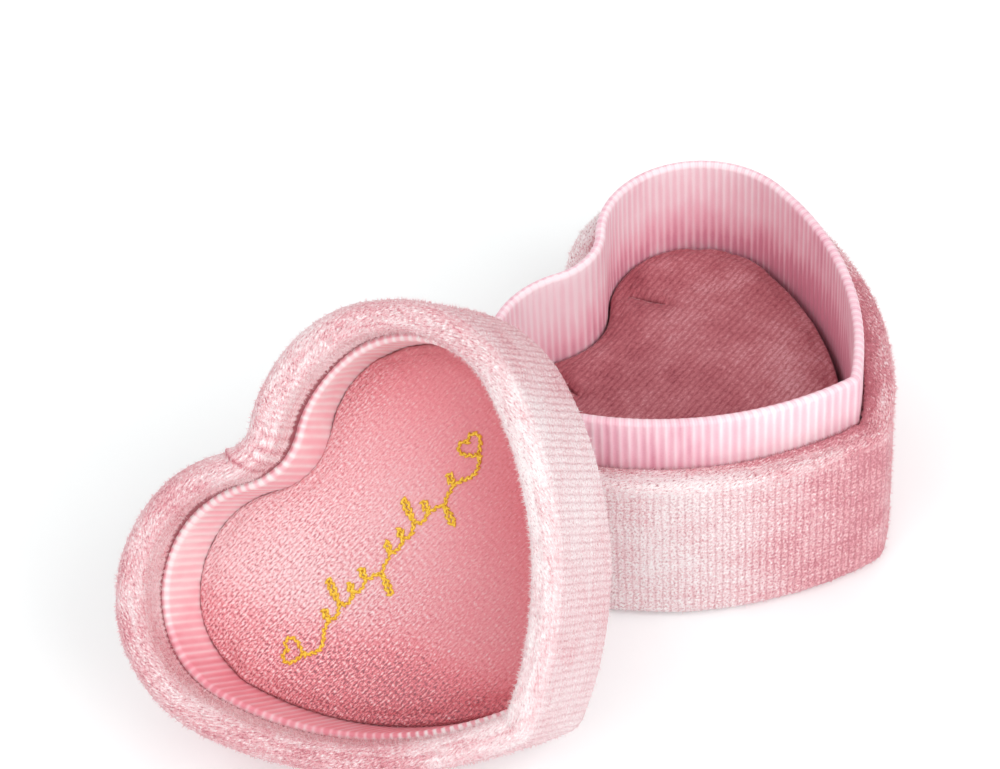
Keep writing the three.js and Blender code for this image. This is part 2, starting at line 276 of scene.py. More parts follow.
world = bpy.data.worlds.new("Studio")
world.use_nodes = True
world.node_tree.nodes.clear()
graph = Graph(world.node_tree)
rays = graph.add("ShaderNodeLightPath", {}, {})
outputs = rays.socket.node.outputs
seen, through = (Wire(graph, outputs[ray]) for ray in ("Is Camera Ray", "Is Transmission Ray"))
shown = (seen + through).clamped()
strength = SKY + (WORLD_WHITE - SKY) * shown
sky = graph.add("ShaderNodeBackground", {}, {"Color": WHITE, "Strength": strength})
output = graph.tree.nodes.new("ShaderNodeOutputWorld")
graph.tree.links.new(sky.socket, output.inputs["Surface"])
scene.world = world
scene.view_settings.view_transform = "Standard"

STAND = 0.7  # metres from the box to each lamp
LAMPS = [  # a name, how far to the right, nearer and up it stands, its size in metres and its watts
    ("Window", 0.54, 0.54, 0.64, 0.5, 2.5),
    ("Left panel", -0.61, 0.61, 0.5, 0.5, 1.2),
    ("Front panel", 0.0, 0.64, 0.77, 0.6, 1.0),
    ("Far window", -0.61, -0.61, 0.5, 0.5, 1.2),
    ("Far panel", 0.35, -0.8, 0.5, 0.5, 0.8),
]
sideways = Vector((to_right.x, to_right.y, 0)).normalized()
nearer = Vector((to_back.x, to_back.y, 0)).normalized()


def add_lamp(name, right, near, up, size, watts):
    """A square area lamp that looks at the box from a direction given from the camera's side."""
    lamp = bpy.data.lights.new(name, "AREA")
    lamp.size = size
    lamp.energy = watts
    lamp_object = bpy.data.objects.new(name, lamp)
    away = (sideways * right + nearer * near + Vector((0, 0, up))).normalized()
    lamp_object.location = AIM + away * STAND
    lamp_object.rotation_mode = "QUATERNION"
    lamp_object.rotation_quaternion = away.to_track_quat("Z", "Y")
    scene.collection.objects.link(lamp_object)


for lamp in LAMPS:
    add_lamp(*lamp)
print("sky", SKY, "and", len(LAMPS), "lamps at", STAND, "m")

# %% [markdown]
# ## The heart
#
# Every wall, collar and pad follows the same heart: a rounded notch, a lobe, a long shallow side
# and a rounded tip, each a circular arc that runs smoothly into the next. An outline drawn further
# in keeps every arc's centre and changes its radius, so the layers stay parallel. Points are
# spread evenly along one chosen outline, and the same stations serve every other one, so a rib
# that starts on the outside of a wall runs straight over its rim.

# %% The arcs of the heart
HALF_WIDTH = 33.0
LOBE_RADIUS = 19.5
SIDE_RADIUS = 53.2
TIP_REACH = 39.3
TIP_RADIUS = 3.5
INNER_TIP_RADIUS = 1.2
NOTCH_RADIUS = 4.5

LOBE = np.array([HALF_WIDTH - LOBE_RADIUS, 0.0])
NOTCH = np.array([0.0, math.sqrt((LOBE_RADIUS + NOTCH_RADIUS) ** 2 - LOBE[0] ** 2)])


def side_centre():
    """The centre of the right side's arc, which touches the lobe's circle and the tip's."""
    tip = np.array([0.0, TIP_RADIUS - TIP_REACH])
    to_lobe = SIDE_RADIUS - LOBE_RADIUS
    to_tip = SIDE_RADIUS - TIP_RADIUS
    across = tip - LOBE
    apart = np.linalg.norm(across)
    along = (to_lobe**2 - to_tip**2 + apart**2) / (2 * apart)
    aside = math.sqrt(to_lobe**2 - along**2)
    inwards = np.array([across[1], -across[0]]) / apart
    return LOBE + across / apart * along + inwards * aside


SIDE = side_centre()


def bearing(start, end):
    """The angle of the line from one flat point to another."""
    return math.atan2(end[1] - start[1], end[0] - start[0])


def half_heart(offset):
    """The right half from notch to tip: centre, radius, first and last angle of each arc."""
    tip_radius = max(TIP_RADIUS - offset, INNER_TIP_RADIUS)
    tip_up = SIDE[1] - math.sqrt((SIDE_RADIUS - offset - tip_radius) ** 2 - SIDE[0] ** 2)
    tip = np.array([0.0, tip_up])
    lobe_end = bearing(LOBE, NOTCH)
    side_end = bearing(SIDE, LOBE)
    side_start = bearing(SIDE, tip)
    return [
        (NOTCH, NOTCH_RADIUS + offset, -math.pi / 2, lobe_end - math.pi),
        (LOBE, LOBE_RADIUS - offset, lobe_end, side_end),
        (SIDE, SIDE_RADIUS - offset, side_end, side_start),
        (tip, tip_radius, side_start, -math.pi / 2),
    ]


def arc_lengths(offset):
    """The lengths of the four arcs of the right half."""
    return np.array([radius * abs(end - start) for _, radius, start, end in half_heart(offset)])


def heart_length(offset):
    return 2 * arc_lengths(offset).sum()


def heart(offset, count, reference=None):
    """Points round the heart, clockwise from the notch, evenly spaced on the reference outline."""
    ends = np.concatenate([[0], np.cumsum(arc_lengths(offset if reference is None else reference))])
    half = ends[-1]
    walked = np.arange(count) / count * 2 * half
    mirrored = walked > half
    walked = np.where(mirrored, 2 * half - walked, walked)
    number = np.clip(np.searchsorted(ends, walked, side="right") - 1, 0, 3)
    share = (walked - ends[number]) / (ends[number + 1] - ends[number])
    arcs = half_heart(offset)
    centre = np.array([arc[0] for arc in arcs])[number]
    radius = np.array([arc[1] for arc in arcs])[number]
    start = np.array([arc[2] for arc in arcs])[number]
    end = np.array([arc[3] for arc in arcs])[number]
    angle = start + (end - start) * share
    points = centre + radius[:, None] * np.stack([np.cos(angle), np.sin(angle)], 1)
    points[mirrored, 0] *= -1
    return points


print("heart outline is", round(heart_length(0), 1), "mm round")

# %% [markdown]
# ## Where the frame puts things
#
# The base stands square on the floor, so the boxes of its pieces give heights and offsets
# directly. The lid leans against it, and is drawn rim up in its own frame and then moved by one
# matrix. The turn is three rotations, and the base's underside cloth and the lid's top cloth are
# the same shape, so the difference between their middles, once turned, gives the rest.

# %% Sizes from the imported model, and the lid's place
LID_TURN = math.radians(150.2)
LID_TILT = math.radians(44.5)
LID_HEADING = math.radians(193.6)


def node_points(name):
    """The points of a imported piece, in millimetres."""
    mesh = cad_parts[name].data
    flat = np.empty(len(mesh.vertices) * 3)
    mesh.vertices.foreach_get("co", flat)
    return flat.reshape(-1, 3) / MM


lid_turn = (
    Matrix.Rotation(LID_HEADING, 3, "Z")
    @ Matrix.Rotation(LID_TILT, 3, "Y")
    @ Matrix.Rotation(LID_TURN, 3, "Z")
)
LID_AXES = np.array(lid_turn)


def middle(points):
    """The middle of the box that holds the points."""
    return (points.min(0) + points.max(0)) / 2


def into_lid(points):
    """Points of the leaning lid, turned square with the lid but not yet moved."""
    return points @ LID_AXES


turned_top = middle(into_lid(node_points("lid_top_velvet")))
lid_shift = turned_top - middle(node_points("base_underside_velvet"))
LID_PLACE = LID_AXES @ lid_shift


def node_size(name):
    """Lowest and highest corner of a piece, in its own half's frame."""
    points = node_points(name)
    if name.startswith("lid"):
        points = into_lid(points) - lid_shift
    return points.min(0), points.max(0)


def offset_of(name):
    """How far inside the heart outline a piece's outer face lies."""
    return HALF_WIDTH - node_size(name)[1][0]


WALL_HEM, BASE_HEIGHT = node_size("base_wall_velvet")[0][2], node_size("base_wall_velvet")[1][2]
LID_HEIGHT = node_size("lid_wall_velvet")[1][2]
BASE_COLLAR = offset_of("base_collar_ribbon")
BASE_COLLAR_FOOT, BASE_COLLAR_EDGE = (size[2] for size in node_size("base_collar_ribbon"))
LID_COLLAR = offset_of("lid_collar_ribbon")
LID_COLLAR_FOOT, LID_COLLAR_EDGE = (size[2] for size in node_size("lid_collar_ribbon"))
PAD, PANEL = offset_of("pad_velvet"), offset_of("lid_panel_velvet")
PAD_FOOT, PAD_TOP = (size[2] for size in node_size("pad_velvet"))
PANEL_FOOT, PANEL_TOP = (size[2] for size in node_size("lid_panel_velvet"))
print("lid sits at", LID_PLACE.round(2), "mm")
print("collars lie", round(BASE_COLLAR, 2), "and", round(LID_COLLAR, 2), "mm inside the outline")
print("pad's top is at", round(PAD_TOP, 2), "mm and the panel's at", round(PANEL_TOP, 2), "mm")

# %% [markdown]
# ## Cloth as a swept section
#
# A wall's cloth is one strip that is folded over the edges of the boards and glued. It could be
# modelled by hand, but it is quicker and truer to sweep it: a closed section, drawn as offset and
# height, goes round the heart. The rows that show are close together, because the pile is real
# relief; the glued side needs only a few.

# %% Sections
def bend(offset, height, reach, rise, start, end, steps):
    """Points of an elliptical corner in a section, from one angle to another in degrees."""
    angles = np.radians(np.linspace(start, end, steps + 1))
    return [(offset + reach * math.cos(a), height + rise * math.sin(a)) for a in angles]


def divided(points, spacing):
    """The same open line, with more points wherever two lie further apart than the spacing."""
    result = [np.array(points[0], float)]
    for point in points[1:]:
        step = np.array(point) - result[-1]
        pieces = max(1, math.ceil(np.linalg.norm(step) / spacing - 0.01))
        start = result[-1]
        result += [start + step * (i + 1) / pieces for i in range(pieces)]
    return np.array(result)


def walk(points):
    """How far along a line each of its points lies."""
    return np.concatenate([[0], np.cumsum(np.linalg.norm(np.diff(points, axis=0), axis=1))])


print("a rounded corner of 9 steps has", len(bend(0, 0, 1, 1, 180, 90, 9)), "points")

# %% Sweeping a section round the heart
def sweep(face, back, columns, reference, pushed=None, lifted=None):
    """Rows and columns of points for a section that goes round the heart.

    pushed and lifted give, for each place round the heart, how far inwards and how far up a row of
    the section moves there.
    """
    section = np.vstack([face, back])
    across = np.concatenate([walk(face), np.full(len(back), walk(face)[-1])])
    shows = np.concatenate([np.ones(len(face)), np.zeros(len(back))])
    grid = np.empty((len(section), columns, 3))
    around = np.arange(columns) / columns * heart_length(reference)
    inwards = heart(reference + 1, columns, reference) - heart(reference, columns, reference)
    for row, (offset, height) in enumerate(section):
        grid[row, :, :2] = heart(offset, columns, reference)
        grid[row, :, 2] = height
        if pushed:
            grid[row, :, :2] += inwards * pushed(around, offset, height)[:, None]
        if lifted:
            grid[row, :, 2] += lifted(around, offset, height)
    return {"grid": grid, "around": around, "across": across, "shows": shows,
            "length": heart_length(reference), "section": section}


print("sections can be swept")

# %% [markdown]
# Each row of a swept strip remembers how far along the cloth it lies, and each column how far
# round, which gives a true cloth map in millimetres for the weave. The same two numbers go on the
# points as attributes, because a Geometry Nodes tree reads points more easily than a map, together
# with a number for where the relief may rise and whatever the finish has to know.

# %% Meshes with a cloth map
def make_piece(name, points, faces, cloth, pile, corners=None, lid=False, **painted):
    """A mesh object from points in millimetres, with its cloth map and its attributes."""
    if lid:
        points = points @ LID_AXES.T + LID_PLACE
    mesh = bpy.data.meshes.new(name)
    mesh.from_pydata((points * MM).tolist(), [], faces)
    numbers = {"crossing": cloth[:, 0], "running": cloth[:, 1], "pile": pile, **painted}
    for label, values in numbers.items():
        attribute = mesh.attributes.new(label, "FLOAT", "POINT")
        attribute.data.foreach_set("value", values.astype(np.float32))
    if corners is None:
        index = np.empty(len(mesh.loops), int)
        mesh.loops.foreach_get("vertex_index", index)
        corners = cloth[index]
    layer = mesh.uv_layers.new(name="Cloth")
    layer.data.foreach_set("uv", corners.astype(np.float32).ravel())
    mesh.shade_smooth()
    piece = bpy.data.objects.new(name, mesh)
    scene.collection.objects.link(piece)
    return piece


def piece_from_sweep(name, swept, lid=False, **painted):
    """The mesh of a swept strip, closed all round and facing outwards."""
    rows, columns = swept["grid"].shape[:2]
    row, column = np.meshgrid(np.arange(rows), np.arange(columns), indexing="ij")
    next_row, next_column = (row + 1) % rows, (column + 1) % columns
    quads = np.stack([row * columns + column, next_row * columns + column,
                      next_row * columns + next_column, row * columns + next_column], -1)
    around = np.append(swept["around"], swept["length"])
    across = np.append(swept["across"], swept["across"][-1])
    corners = np.stack([
        np.stack([around[column], across[row]], -1),
        np.stack([around[column], across[row + 1]], -1),
        np.stack([around[column + 1], across[row + 1]], -1),
        np.stack([around[column + 1], across[row]], -1),
    ], 2)
    points = swept["grid"].reshape(-1, 3)
    cloth = np.stack([around[column], across[row]], -1).reshape(-1, 2)
    pile = np.repeat(swept["shows"], columns)
    quads, corners = quads.reshape(-1, 4), corners.reshape(-1, 4, 2)
    sample = points[quads]
    volume = np.einsum("ij,ij->i", sample[:, 0], np.cross(sample[:, 1], sample[:, 2])).sum()
    volume += np.einsum("ij,ij->i", sample[:, 0], np.cross(sample[:, 2], sample[:, 3])).sum()
    if volume < 0:
        quads, corners = quads[:, ::-1], corners[:, ::-1]
    return make_piece(name, points, quads.tolist(), cloth, pile, corners.reshape(-1, 2), lid, **painted)


print("strips become pieces")

# %% [markdown]
# ## Geometry Nodes trees
#
# Ribs, loose fibres and stitches all repeat, so Geometry Nodes make them. Each of the three trees
# takes a mesh, a few sizes and a finish, and gives back real geometry. Two helpers open and end a
# tree, so that a tree's own function holds only what is its own.

# %% Opening and ending a tree
def new_tree(name, sizes):
    """An empty tree with named sizes and a finish: its graph and the wires they come in on."""
    tree = bpy.data.node_groups.new(name, "GeometryNodeTree")
    interface = tree.interface
    interface.new_socket("Geometry", in_out="INPUT", socket_type="NodeSocketGeometry")
    for size in sizes:
        interface.new_socket(size, in_out="INPUT", socket_type="NodeSocketFloat")
    interface.new_socket("Finish", in_out="INPUT", socket_type="NodeSocketMaterial")
    interface.new_socket("Geometry", in_out="OUTPUT", socket_type="NodeSocketGeometry")
    graph = Graph(tree)
    entry = tree.nodes.new("NodeGroupInput")
    return graph, {socket.name: Wire(graph, socket) for socket in entry.outputs if socket.name}


def finished_tree(graph, geometry, finish):
    """Makes instances real, gives them their finish and ends the tree."""
    real = graph.add("GeometryNodeRealizeInstances", {}, {"Geometry": geometry})
    done = graph.add("GeometryNodeSetMaterial", {}, {"Geometry": real, "Material": finish})
    leave = graph.tree.nodes.new("NodeGroupOutput")
    graph.tree.links.new(done.socket, leave.inputs["Geometry"])
    return graph.tree


def stored(graph, name):
    """A number that the mesh carries for each of its points, inside a Geometry Nodes tree."""
    sockets = {"Name": name}
    return graph.add("GeometryNodeInputNamedAttribute", {"data_type": "FLOAT"}, sockets, "Attribute")


def scaled(graph, vector, scale):
    """A vector times a number."""
    return graph.add("ShaderNodeVectorMath", {"operation": "SCALE"}, {"Vector": vector, "Scale": scale})


def added(graph, vector_a, vector_b):
    """The sum of two vectors."""
    return graph.add("ShaderNodeVectorMath", {"operation": "ADD"}, {0: vector_a, 1: vector_b})


print("every tree opens and ends the same way")

# %% [markdown]
# ## Ribs and pile
#
# Corded velvet and grosgrain both have ribs at an even pitch, and velvet has small tufts besides.
# They could be painted as bump alone, but then the rims would be smooth lines. A Geometry Nodes
# tree pushes each point out along its normal instead: by the rib it lies on, by a fine noise for
# the tufts and by a slow one for the softness of the foam underneath. The sizes are inputs, so one
# tree does the velvet and the ribbon.

# %% The relief tree
WANDER_SIZE = 3.0  # how far apart the ribs' small wanderings lie
TUFT_STRETCH = 1.6  # how much longer a tuft is along the ribs than across them


def relief_tree():
    sizes = ["Rib pitch", "Rib height", "Rib wander", "Tuft size", "Tuft height"]
    graph, given = new_tree("Cloth relief", sizes + ["Swell size", "Swell height"])
    crossing, running, pile = (stored(graph, name) for name in ("crossing", "running", "pile"))
    place = graph.add("GeometryNodeInputPosition", {}, {})
    wander = graph.noise(place, 1 / (WANDER_SIZE * MM)) - 0.5
    turns = crossing / given["Rib pitch"] + wander * given["Rib wander"]
    ridge = 0.5 - 0.5 * (2 * math.pi * turns).cosine()
    tuft_length = given["Tuft size"] * TUFT_STRETCH
    tuft_place = graph.vector(crossing / given["Tuft size"], running / tuft_length)
    tufts = graph.noise(tuft_place, 1.0, 1.0, 0.6) - 0.5
    swells = graph.noise(place, 1 / MM / given["Swell size"]) - 0.5
    height = ridge * given["Rib height"] + tufts * given["Tuft height"] + swells * given["Swell height"]
    normal = graph.add("GeometryNodeInputNormal", {}, {})
    push = scaled(graph, normal, height * pile * MM)
    moved = graph.add("GeometryNodeSetPosition", {}, {"Geometry": given["Geometry"], "Offset": push})
    return finished_tree(graph, moved, given["Finish"])


RELIEF = relief_tree()


def baked(piece, tree, values):
    """Runs a Geometry Nodes tree on a piece once, and keeps the result as a plain mesh."""
    modifier = piece.modifiers.new(tree.name, "NODES")
    modifier.node_group = tree
    for socket in tree.interface.items_tree:
        if socket.in_out == "INPUT" and socket.name in values:
            modifier[socket.identifier] = values[socket.name]
    bpy.context.view_layer.update()
    evaluated = piece.evaluated_get(bpy.context.evaluated_depsgraph_get())
    mesh = bpy.data.meshes.new_from_object(evaluated)
    piece.modifiers.clear()
    mesh.name = piece.name
    piece.data = mesh
    print(piece.name, "has", sum(len(p.vertices) - 2 for p in mesh.polygons), "triangles")
    return piece


VELVET_RELIEF = {
    "Rib height": 0.07, "Rib wander": 0.5, "Tuft size": 0.5, "Tuft height": 0.05,
    "Swell size": 9.0, "Swell height": 0.5,
}
RIBBON_PITCH = 1.25
RIBBON_RELIEF = {
    "Rib pitch": RIBBON_PITCH, "Rib height": 0.08, "Rib wander": 0.06, "Tuft size": 0.5,
    "Tuft height": 0.02, "Swell size": 7.0, "Swell height": 0.12,
}
print("relief tree has", len(RELIEF.nodes), "nodes")

# %% [markdown]
# ## Velvet
#
# Velvet looks pale where its pile leans across the light and deep where the light goes down into
# it. A flat pink would miss that, so this sheen is painted into the colour, from the pile itself.
# Cords, tufts, fine fibres and painted glints of light make a texture, and streaks and broad
# patches shift it. All of that adds up to one lie of the pile, which a ramp turns into four or five
# pinks, and a painted shade darkens the gaps between the tufts and the furrows between the cords,
# towards a shadow colour. Each mesh carries numbers that change the lie from place to place: the
# nap is how pale the stroked pile is painted, as its sheen and as the light and shade that fall on
# it; crush is how far the cords have given way to flat tufts; rough is how lively the texture is;
# and seam is where the cloth sinks into a crease, painted in a shadow colour. The tufts drive the
# bump too, and the shader's own sheen gives the light edge that short fibres have.

# %% The velvet finish
CORD_WAVER = 0.5
TUFT_SLANT = 0.12
FLAT_TUFT = (0.6, 0.24)  # size of a tuft that lies flat, across the cords and along them
FLAT_TUFT_SLANT = 0.3
# tufts above the first number get painted highlights, and tufts below the second get painted shade
PAINTED_GLINTS_ABOVE, PAINTED_SHADE_BELOW = 0.57, 0.45
TUFT_CONTRAST = 7
FINE_FIBRE = (0.1, 0.16)
STREAK = (6.0, 0.8)
PATCH_SIZE = 8 * MM
SEAM_SHADOW = "8E2A3A"


def cloth_place(graph):
    """The cloth map's two directions in millimetres, across the ribs and along them."""
    cloth = graph.add("ShaderNodeUVMap", {"uv_map": "Cloth"}, {})
    return graph.parts(cloth)[:2]


def velvet(name, pinks, look):
    """Velvet with its own pinks; its look says how strongly each part of the pile shows."""
    material, graph = new_material(name)
    crossing, running = cloth_place(graph)
    nap, crush, rough, seam = (graph.painted(part) for part in ("nap", "crush", "rough", "seam"))
    wander = (graph.noise(graph.vector(crossing, running), 0.35) - 0.5) * CORD_WAVER
    turn = 2 * math.pi * (crossing / look["cord pitch"] + wander)
    cords = 0.5 - 0.4 * turn.cosine() - 0.1 * (turn * 2).cosine()
    rows = 0.5 - 0.5 * (2 * math.pi * (running / look["row pitch"] + wander)).cosine()
    wide, long = look["tuft size"]
    upright = graph.vector((crossing + running * TUFT_SLANT) / wide, running / long)
    standing = graph.noise(upright, 1.0, 2.0, 0.6)
    wide, long = FLAT_TUFT
    pressed = graph.vector(crossing / wide, (running + crossing * FLAT_TUFT_SLANT) / long, 5.0)
    lying = graph.noise(pressed, 1.0, 2.0, 0.6)
    tufts = standing + (lying - standing) * crush
    # painted highlights: the highest tufts are made paler, as if they caught the light
    painted_glints = ((tufts - PAINTED_GLINTS_ABOVE) * TUFT_CONTRAST).clamped()
    # painted shade: the furrows between the cords and the gaps between low tufts go towards a shadow
    # colour
    painted_furrow_shade = (0.3 - cords).clamped() * (1 - crush) * look["cord"] * 6
    painted_gap_shade = ((PAINTED_SHADE_BELOW - tufts) * TUFT_CONTRAST).clamped() + painted_furrow_shade
    wide, long = FINE_FIBRE
    fine = graph.noise(graph.vector(crossing / wide, running / long, 7.0), 1.0, 1.0)
    wide, long = STREAK
    streaks = graph.noise(graph.vector(crossing / wide, running / long, 3.0), 1.0, 2.0)
    patches = graph.noise(graph.solid(), 1 / PATCH_SIZE, 3.0, 0.6)
    texture = (
        (cords - 0.5) * look["cord"] * (1 - crush)
        + (rows - 0.5) * look["row"]
        + (tufts - 0.5) * look["tuft"] * (0.7 + cords * 0.6)
        + (fine - 0.5) * look["fine"]
        + painted_glints * look["painted_glint"]
    )
    # the painted sheen, light and shade of each place come in with the nap
    lie = (
        0.5
        + nap
        + texture * (1 + rough)
        + (streaks - 0.5) * look["streak"] * (1 + crush)
        + (patches - 0.5) * look["patch"] * (1 + crush * 0.8)
    ).clamped()
    shadow = painted_gap_shade * (1 + rough) * look["gap"]
    pile = graph.mix(graph.ramp(lie, pinks), colour(look["shadow"]), shadow)
    height = cords * 0.2 + tufts + fine * 0.3
    sockets = {"Strength": 1.0, "Distance": look["depth"] * MM, "Height": height}
    shader = graph.add("ShaderNodeBsdfPrincipled", {}, {
        "Base Color": graph.mix(pile, colour(SEAM_SHADOW), seam),
        "Roughness": 0.85 - 0.25 * lie,
        "Normal": graph.add("ShaderNodeBump", {}, sockets),
        "Specular IOR Level": look["gloss"],
        "Sheen Weight": 0.2,
        "Sheen Roughness": 0.4,
        "Sheen Tint": (1.0, 0.9, 0.92, 1.0),
    })
    finish_material(graph, shader)
    return material


VELVET_PITCH = 1.05
PAD_PITCH = 0.98
PANEL_PITCH = 0.59
OUTER_PINKS = [
    (0.0, "C87A85"), (0.25, "E2A0A8"), (0.5, "EBC8CC"), (0.75, "F4E0E2"), (1.0, "FCF6F6"),
]
PAD_PINKS = [(0.0, "8E444E"), (0.35, "AD5F67"), (0.6, "BC737A"), (1.0, "D8A1A7")]
PANEL_PINKS = [
    (0.0, "B0747D"), (0.3, "E8868F"), (0.5, "EC9EA5"), (0.75, "F0C8CC"), (1.0, "F8E4E6"),
]
# glint is how strong the painted highlights on the tufts are; gap and shadow are how strong the painted
# shade between the tufts is, and its colour
OUTER_LOOK = {
    "cord pitch": VELVET_PITCH, "row pitch": 1.0, "tuft size": (0.33, 0.42),
    "cord": 0.26, "row": 0.0, "tuft": 1.6, "fine": 0.8, "painted_glint": 0.3, "gap": 0.35,
    "streak": 0.5, "patch": 0.7, "shadow": "8F5C65", "depth": 0.12, "gloss": 0.5,
}
PAD_LOOK = {
    "cord pitch": PAD_PITCH, "row pitch": 1.0, "tuft size": (0.3, 0.65),
    "cord": 0.22, "row": 0.0, "tuft": 0.8, "fine": 0.5, "painted_glint": 0.05, "gap": 0.2,
    "streak": 0.2, "patch": 1.2, "shadow": "5A2A32", "depth": 0.07, "gloss": 0.25,
}
PANEL_LOOK = {
    "cord pitch": PANEL_PITCH, "row pitch": 1.0, "tuft size": (0.22, 0.55),
    "cord": 0.16, "row": 0.08, "tuft": 1.2, "fine": 0.6, "painted_glint": 0.35, "gap": 0.35,
    "streak": 0.0, "patch": 0.15, "shadow": "7A5058", "depth": 0.12, "gloss": 0.3,
}

outer_velvet = velvet("Pale pink velvet", OUTER_PINKS, OUTER_LOOK)
pad_velvet = velvet("Dusty rose velvet", PAD_PINKS, PAD_LOOK)
panel_velvet = velvet("Coral velvet", PANEL_PINKS, PANEL_LOOK)
print("three velvets are ready")

# %% [markdown]
# ## Grosgrain ribbon
#
# Grosgrain is woven over thick cords, so it has rounded ribs with a satin gleam on their crests
# and fine threads across them. The cords are real relief. The finish adds the threads, darkens
# the pink between the cords with painted shade and paints a little shine on the crests, which
# comes and goes in patches with the wear. Where the ribbon folds over the edge of its collar, which
# its mesh says, the stretched ribs get a painted gleam instead and break up into small painted
# beads of light. The mesh also says where painted shade makes the ribbon deeper and painted light
# makes it paler.

# %% The ribbon finish
THREAD = (0.5, 0.12)  # size of a thread, across the ribs and along them
WEAR_AND_SHINE_PATCH = (2.6, 9.0)
BEAD_PITCH = 0.42


def grosgrain(name, deep, plain, light, gleam):
    """Ribbon with three pinks; gleam says how bright its ribs are where it folds over the edge."""
    material, graph = new_material(name)
    crossing, running = cloth_place(graph)
    fold, painted_shade_and_light = graph.painted("fold"), graph.painted("deep")
    ridge = 0.5 - 0.5 * (2 * math.pi / RIBBON_PITCH * crossing).cosine()
    wear_and_shine = graph.noise(graph.vector(crossing / WEAR_AND_SHINE_PATCH[0], running / WEAR_AND_SHINE_PATCH[1]), 1.0, 2.0)
    threads = graph.noise(graph.vector(crossing / THREAD[0], running / THREAD[1], 2.0), 1.0, 1.0)
    # painted highlights on the rib crests, brighter in patches, and a painted gleam on them along the
    # fold; painted shade between the cords
    crest = ridge**3 * (0.02 + 0.4 * wear_and_shine) * (1 - fold) + ridge**2 * fold * gleam
    painted_bead_highlights = (2 * math.pi / BEAD_PITCH * crossing).sine() * fold * 0.07
    lit = 0.18 + ridge * 0.17 + crest + painted_bead_highlights + fold * 0.12
    # painted shade and light where the mesh says the ribbon is deeper and paler
    shade = (lit + (wear_and_shine - 0.5) * 0.6 + (threads - 0.5) * 0.2 - painted_shade_and_light * 0.35).clamped()
    bump = graph.add("ShaderNodeBump", {}, {"Strength": 0.5, "Distance": 0.06 * MM, "Height": threads})
    shader = graph.add("ShaderNodeBsdfPrincipled", {}, {
        "Base Color": graph.ramp(shade, [(0.0, deep), (0.3, plain), (0.9, light)]),
        "Roughness": 0.5 - 0.12 * ridge,
        "Normal": bump,
        "Specular IOR Level": 0.55,
        "Sheen Weight": 0.1,
        "Sheen Tint": (1.0, 0.9, 0.93, 1.0),
    })
    finish_material(graph, shader)
    return material


base_ribbon = grosgrain("Rose grosgrain", "E095AB", "F4C0CE", "FFEDF2", 0.12)
lid_ribbon = grosgrain("Coral grosgrain", "F094A2", "FABDC7", "FFF4F4", 1.1)
print("two ribbons are ready")

# %% [markdown]
# ## Board, card, foam and thread
#
# The boards, the cards and the foams stay hidden once the box is covered, but the imported model
# carries them, and each gets its own finish: grey-brown pulp with flecks for the board, plain rose
# pulp for the cards, small open cells for the foam. A picture wrapped round them would end at the
# cut edges, so these patterns are solid and go right through. The thread is gold, with its shine
# broken up by the twist, and its colour is painted darker and paler along the twist as painted
# shade and highlights.

# %% Finishes of the inside and the thread
PULP_SIZE = 0.9 * MM
FLECK_SIZE = 0.3 * MM
FOAM_CELL = 0.45 * MM
TWIST_SIZE = 0.35 * MM


def paperboard():
    material, graph = new_material("Grey board")
    pulp = graph.noise(graph.solid(), 1 / PULP_SIZE, 4.0, 0.7)
    flecks = graph.noise(graph.solid(), 1 / FLECK_SIZE, 1.0)
    greys = [(0.3, "8F826E"), (0.55, "B9AB95"), (0.8, "CFC4B1")]
    bump = graph.add("ShaderNodeBump", {}, {"Distance": 0.05 * MM, "Height": pulp + flecks})
    shader = graph.add("ShaderNodeBsdfPrincipled", {}, {
        "Base Color": graph.ramp(pulp * 0.7 + flecks * 0.3, greys), "Roughness": 0.9, "Normal": bump})
    finish_material(graph, shader)
    return material


def rose_card():
    material, graph = new_material("Rose card")
    pulp = graph.noise(graph.solid(), 1 / PULP_SIZE, 4.0, 0.7)
    roses = [(0.3, "7A3440"), (0.55, "93444F"), (0.8, "A85862")]
    sockets = {"Base Color": graph.ramp(pulp, roses), "Roughness": 0.9}
    finish_material(graph, graph.add("ShaderNodeBsdfPrincipled", {}, sockets))
    return material


def soft_foam():
    material, graph = new_material("Cream foam")
    sockets = {"Vector": graph.solid(), "Scale": 1 / FOAM_CELL}
    cells = graph.add("ShaderNodeTexVoronoi", {}, sockets, "Distance")
    creams = [(0.0, "CFC3A6"), (0.5, "F1EAD8"), (1.0, "FBF7EC")]
    bump = graph.add("ShaderNodeBump", {}, {"Distance": 0.15 * MM, "Height": cells})
    shader = graph.add("ShaderNodeBsdfPrincipled", {}, {
        "Base Color": graph.ramp(cells, creams), "Roughness": 1.0, "Normal": bump})
    finish_material(graph, shader)
    return material


def gold_thread():
    material, graph = new_material("Gold thread")
    painted_glints = graph.noise(graph.solid(), 1 / TWIST_SIZE, 2.0, 0.6)
    # painted highlights and shade along the twist, from dark gold to pale yellow
    golds = [(0.25, "C08A18"), (0.5, "F2C838"), (0.75, "FFEA6A")]
    bump = graph.add("ShaderNodeBump", {}, {"Distance": 0.06 * MM, "Height": painted_glints})
    shader = graph.add("ShaderNodeBsdfPrincipled", {}, {
        "Base Color": graph.ramp(painted_glints, golds), "Roughness": 0.38 + 0.2 * painted_glints,
        "Metallic": 0.25, "Normal": bump})
    finish_material(graph, shader)
    return material


inside_finishes = {"board": paperboard(), "card": rose_card(), "foam": soft_foam()}
thread_finish = gold_thread()
for node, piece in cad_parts.items():
    kind = node.rsplit("_", 1)[-1]
    if kind in inside_finishes:
        piece.data.materials.clear()
        piece.data.materials.append(inside_finishes[kind])
print("boards, cards and foams have their finish")

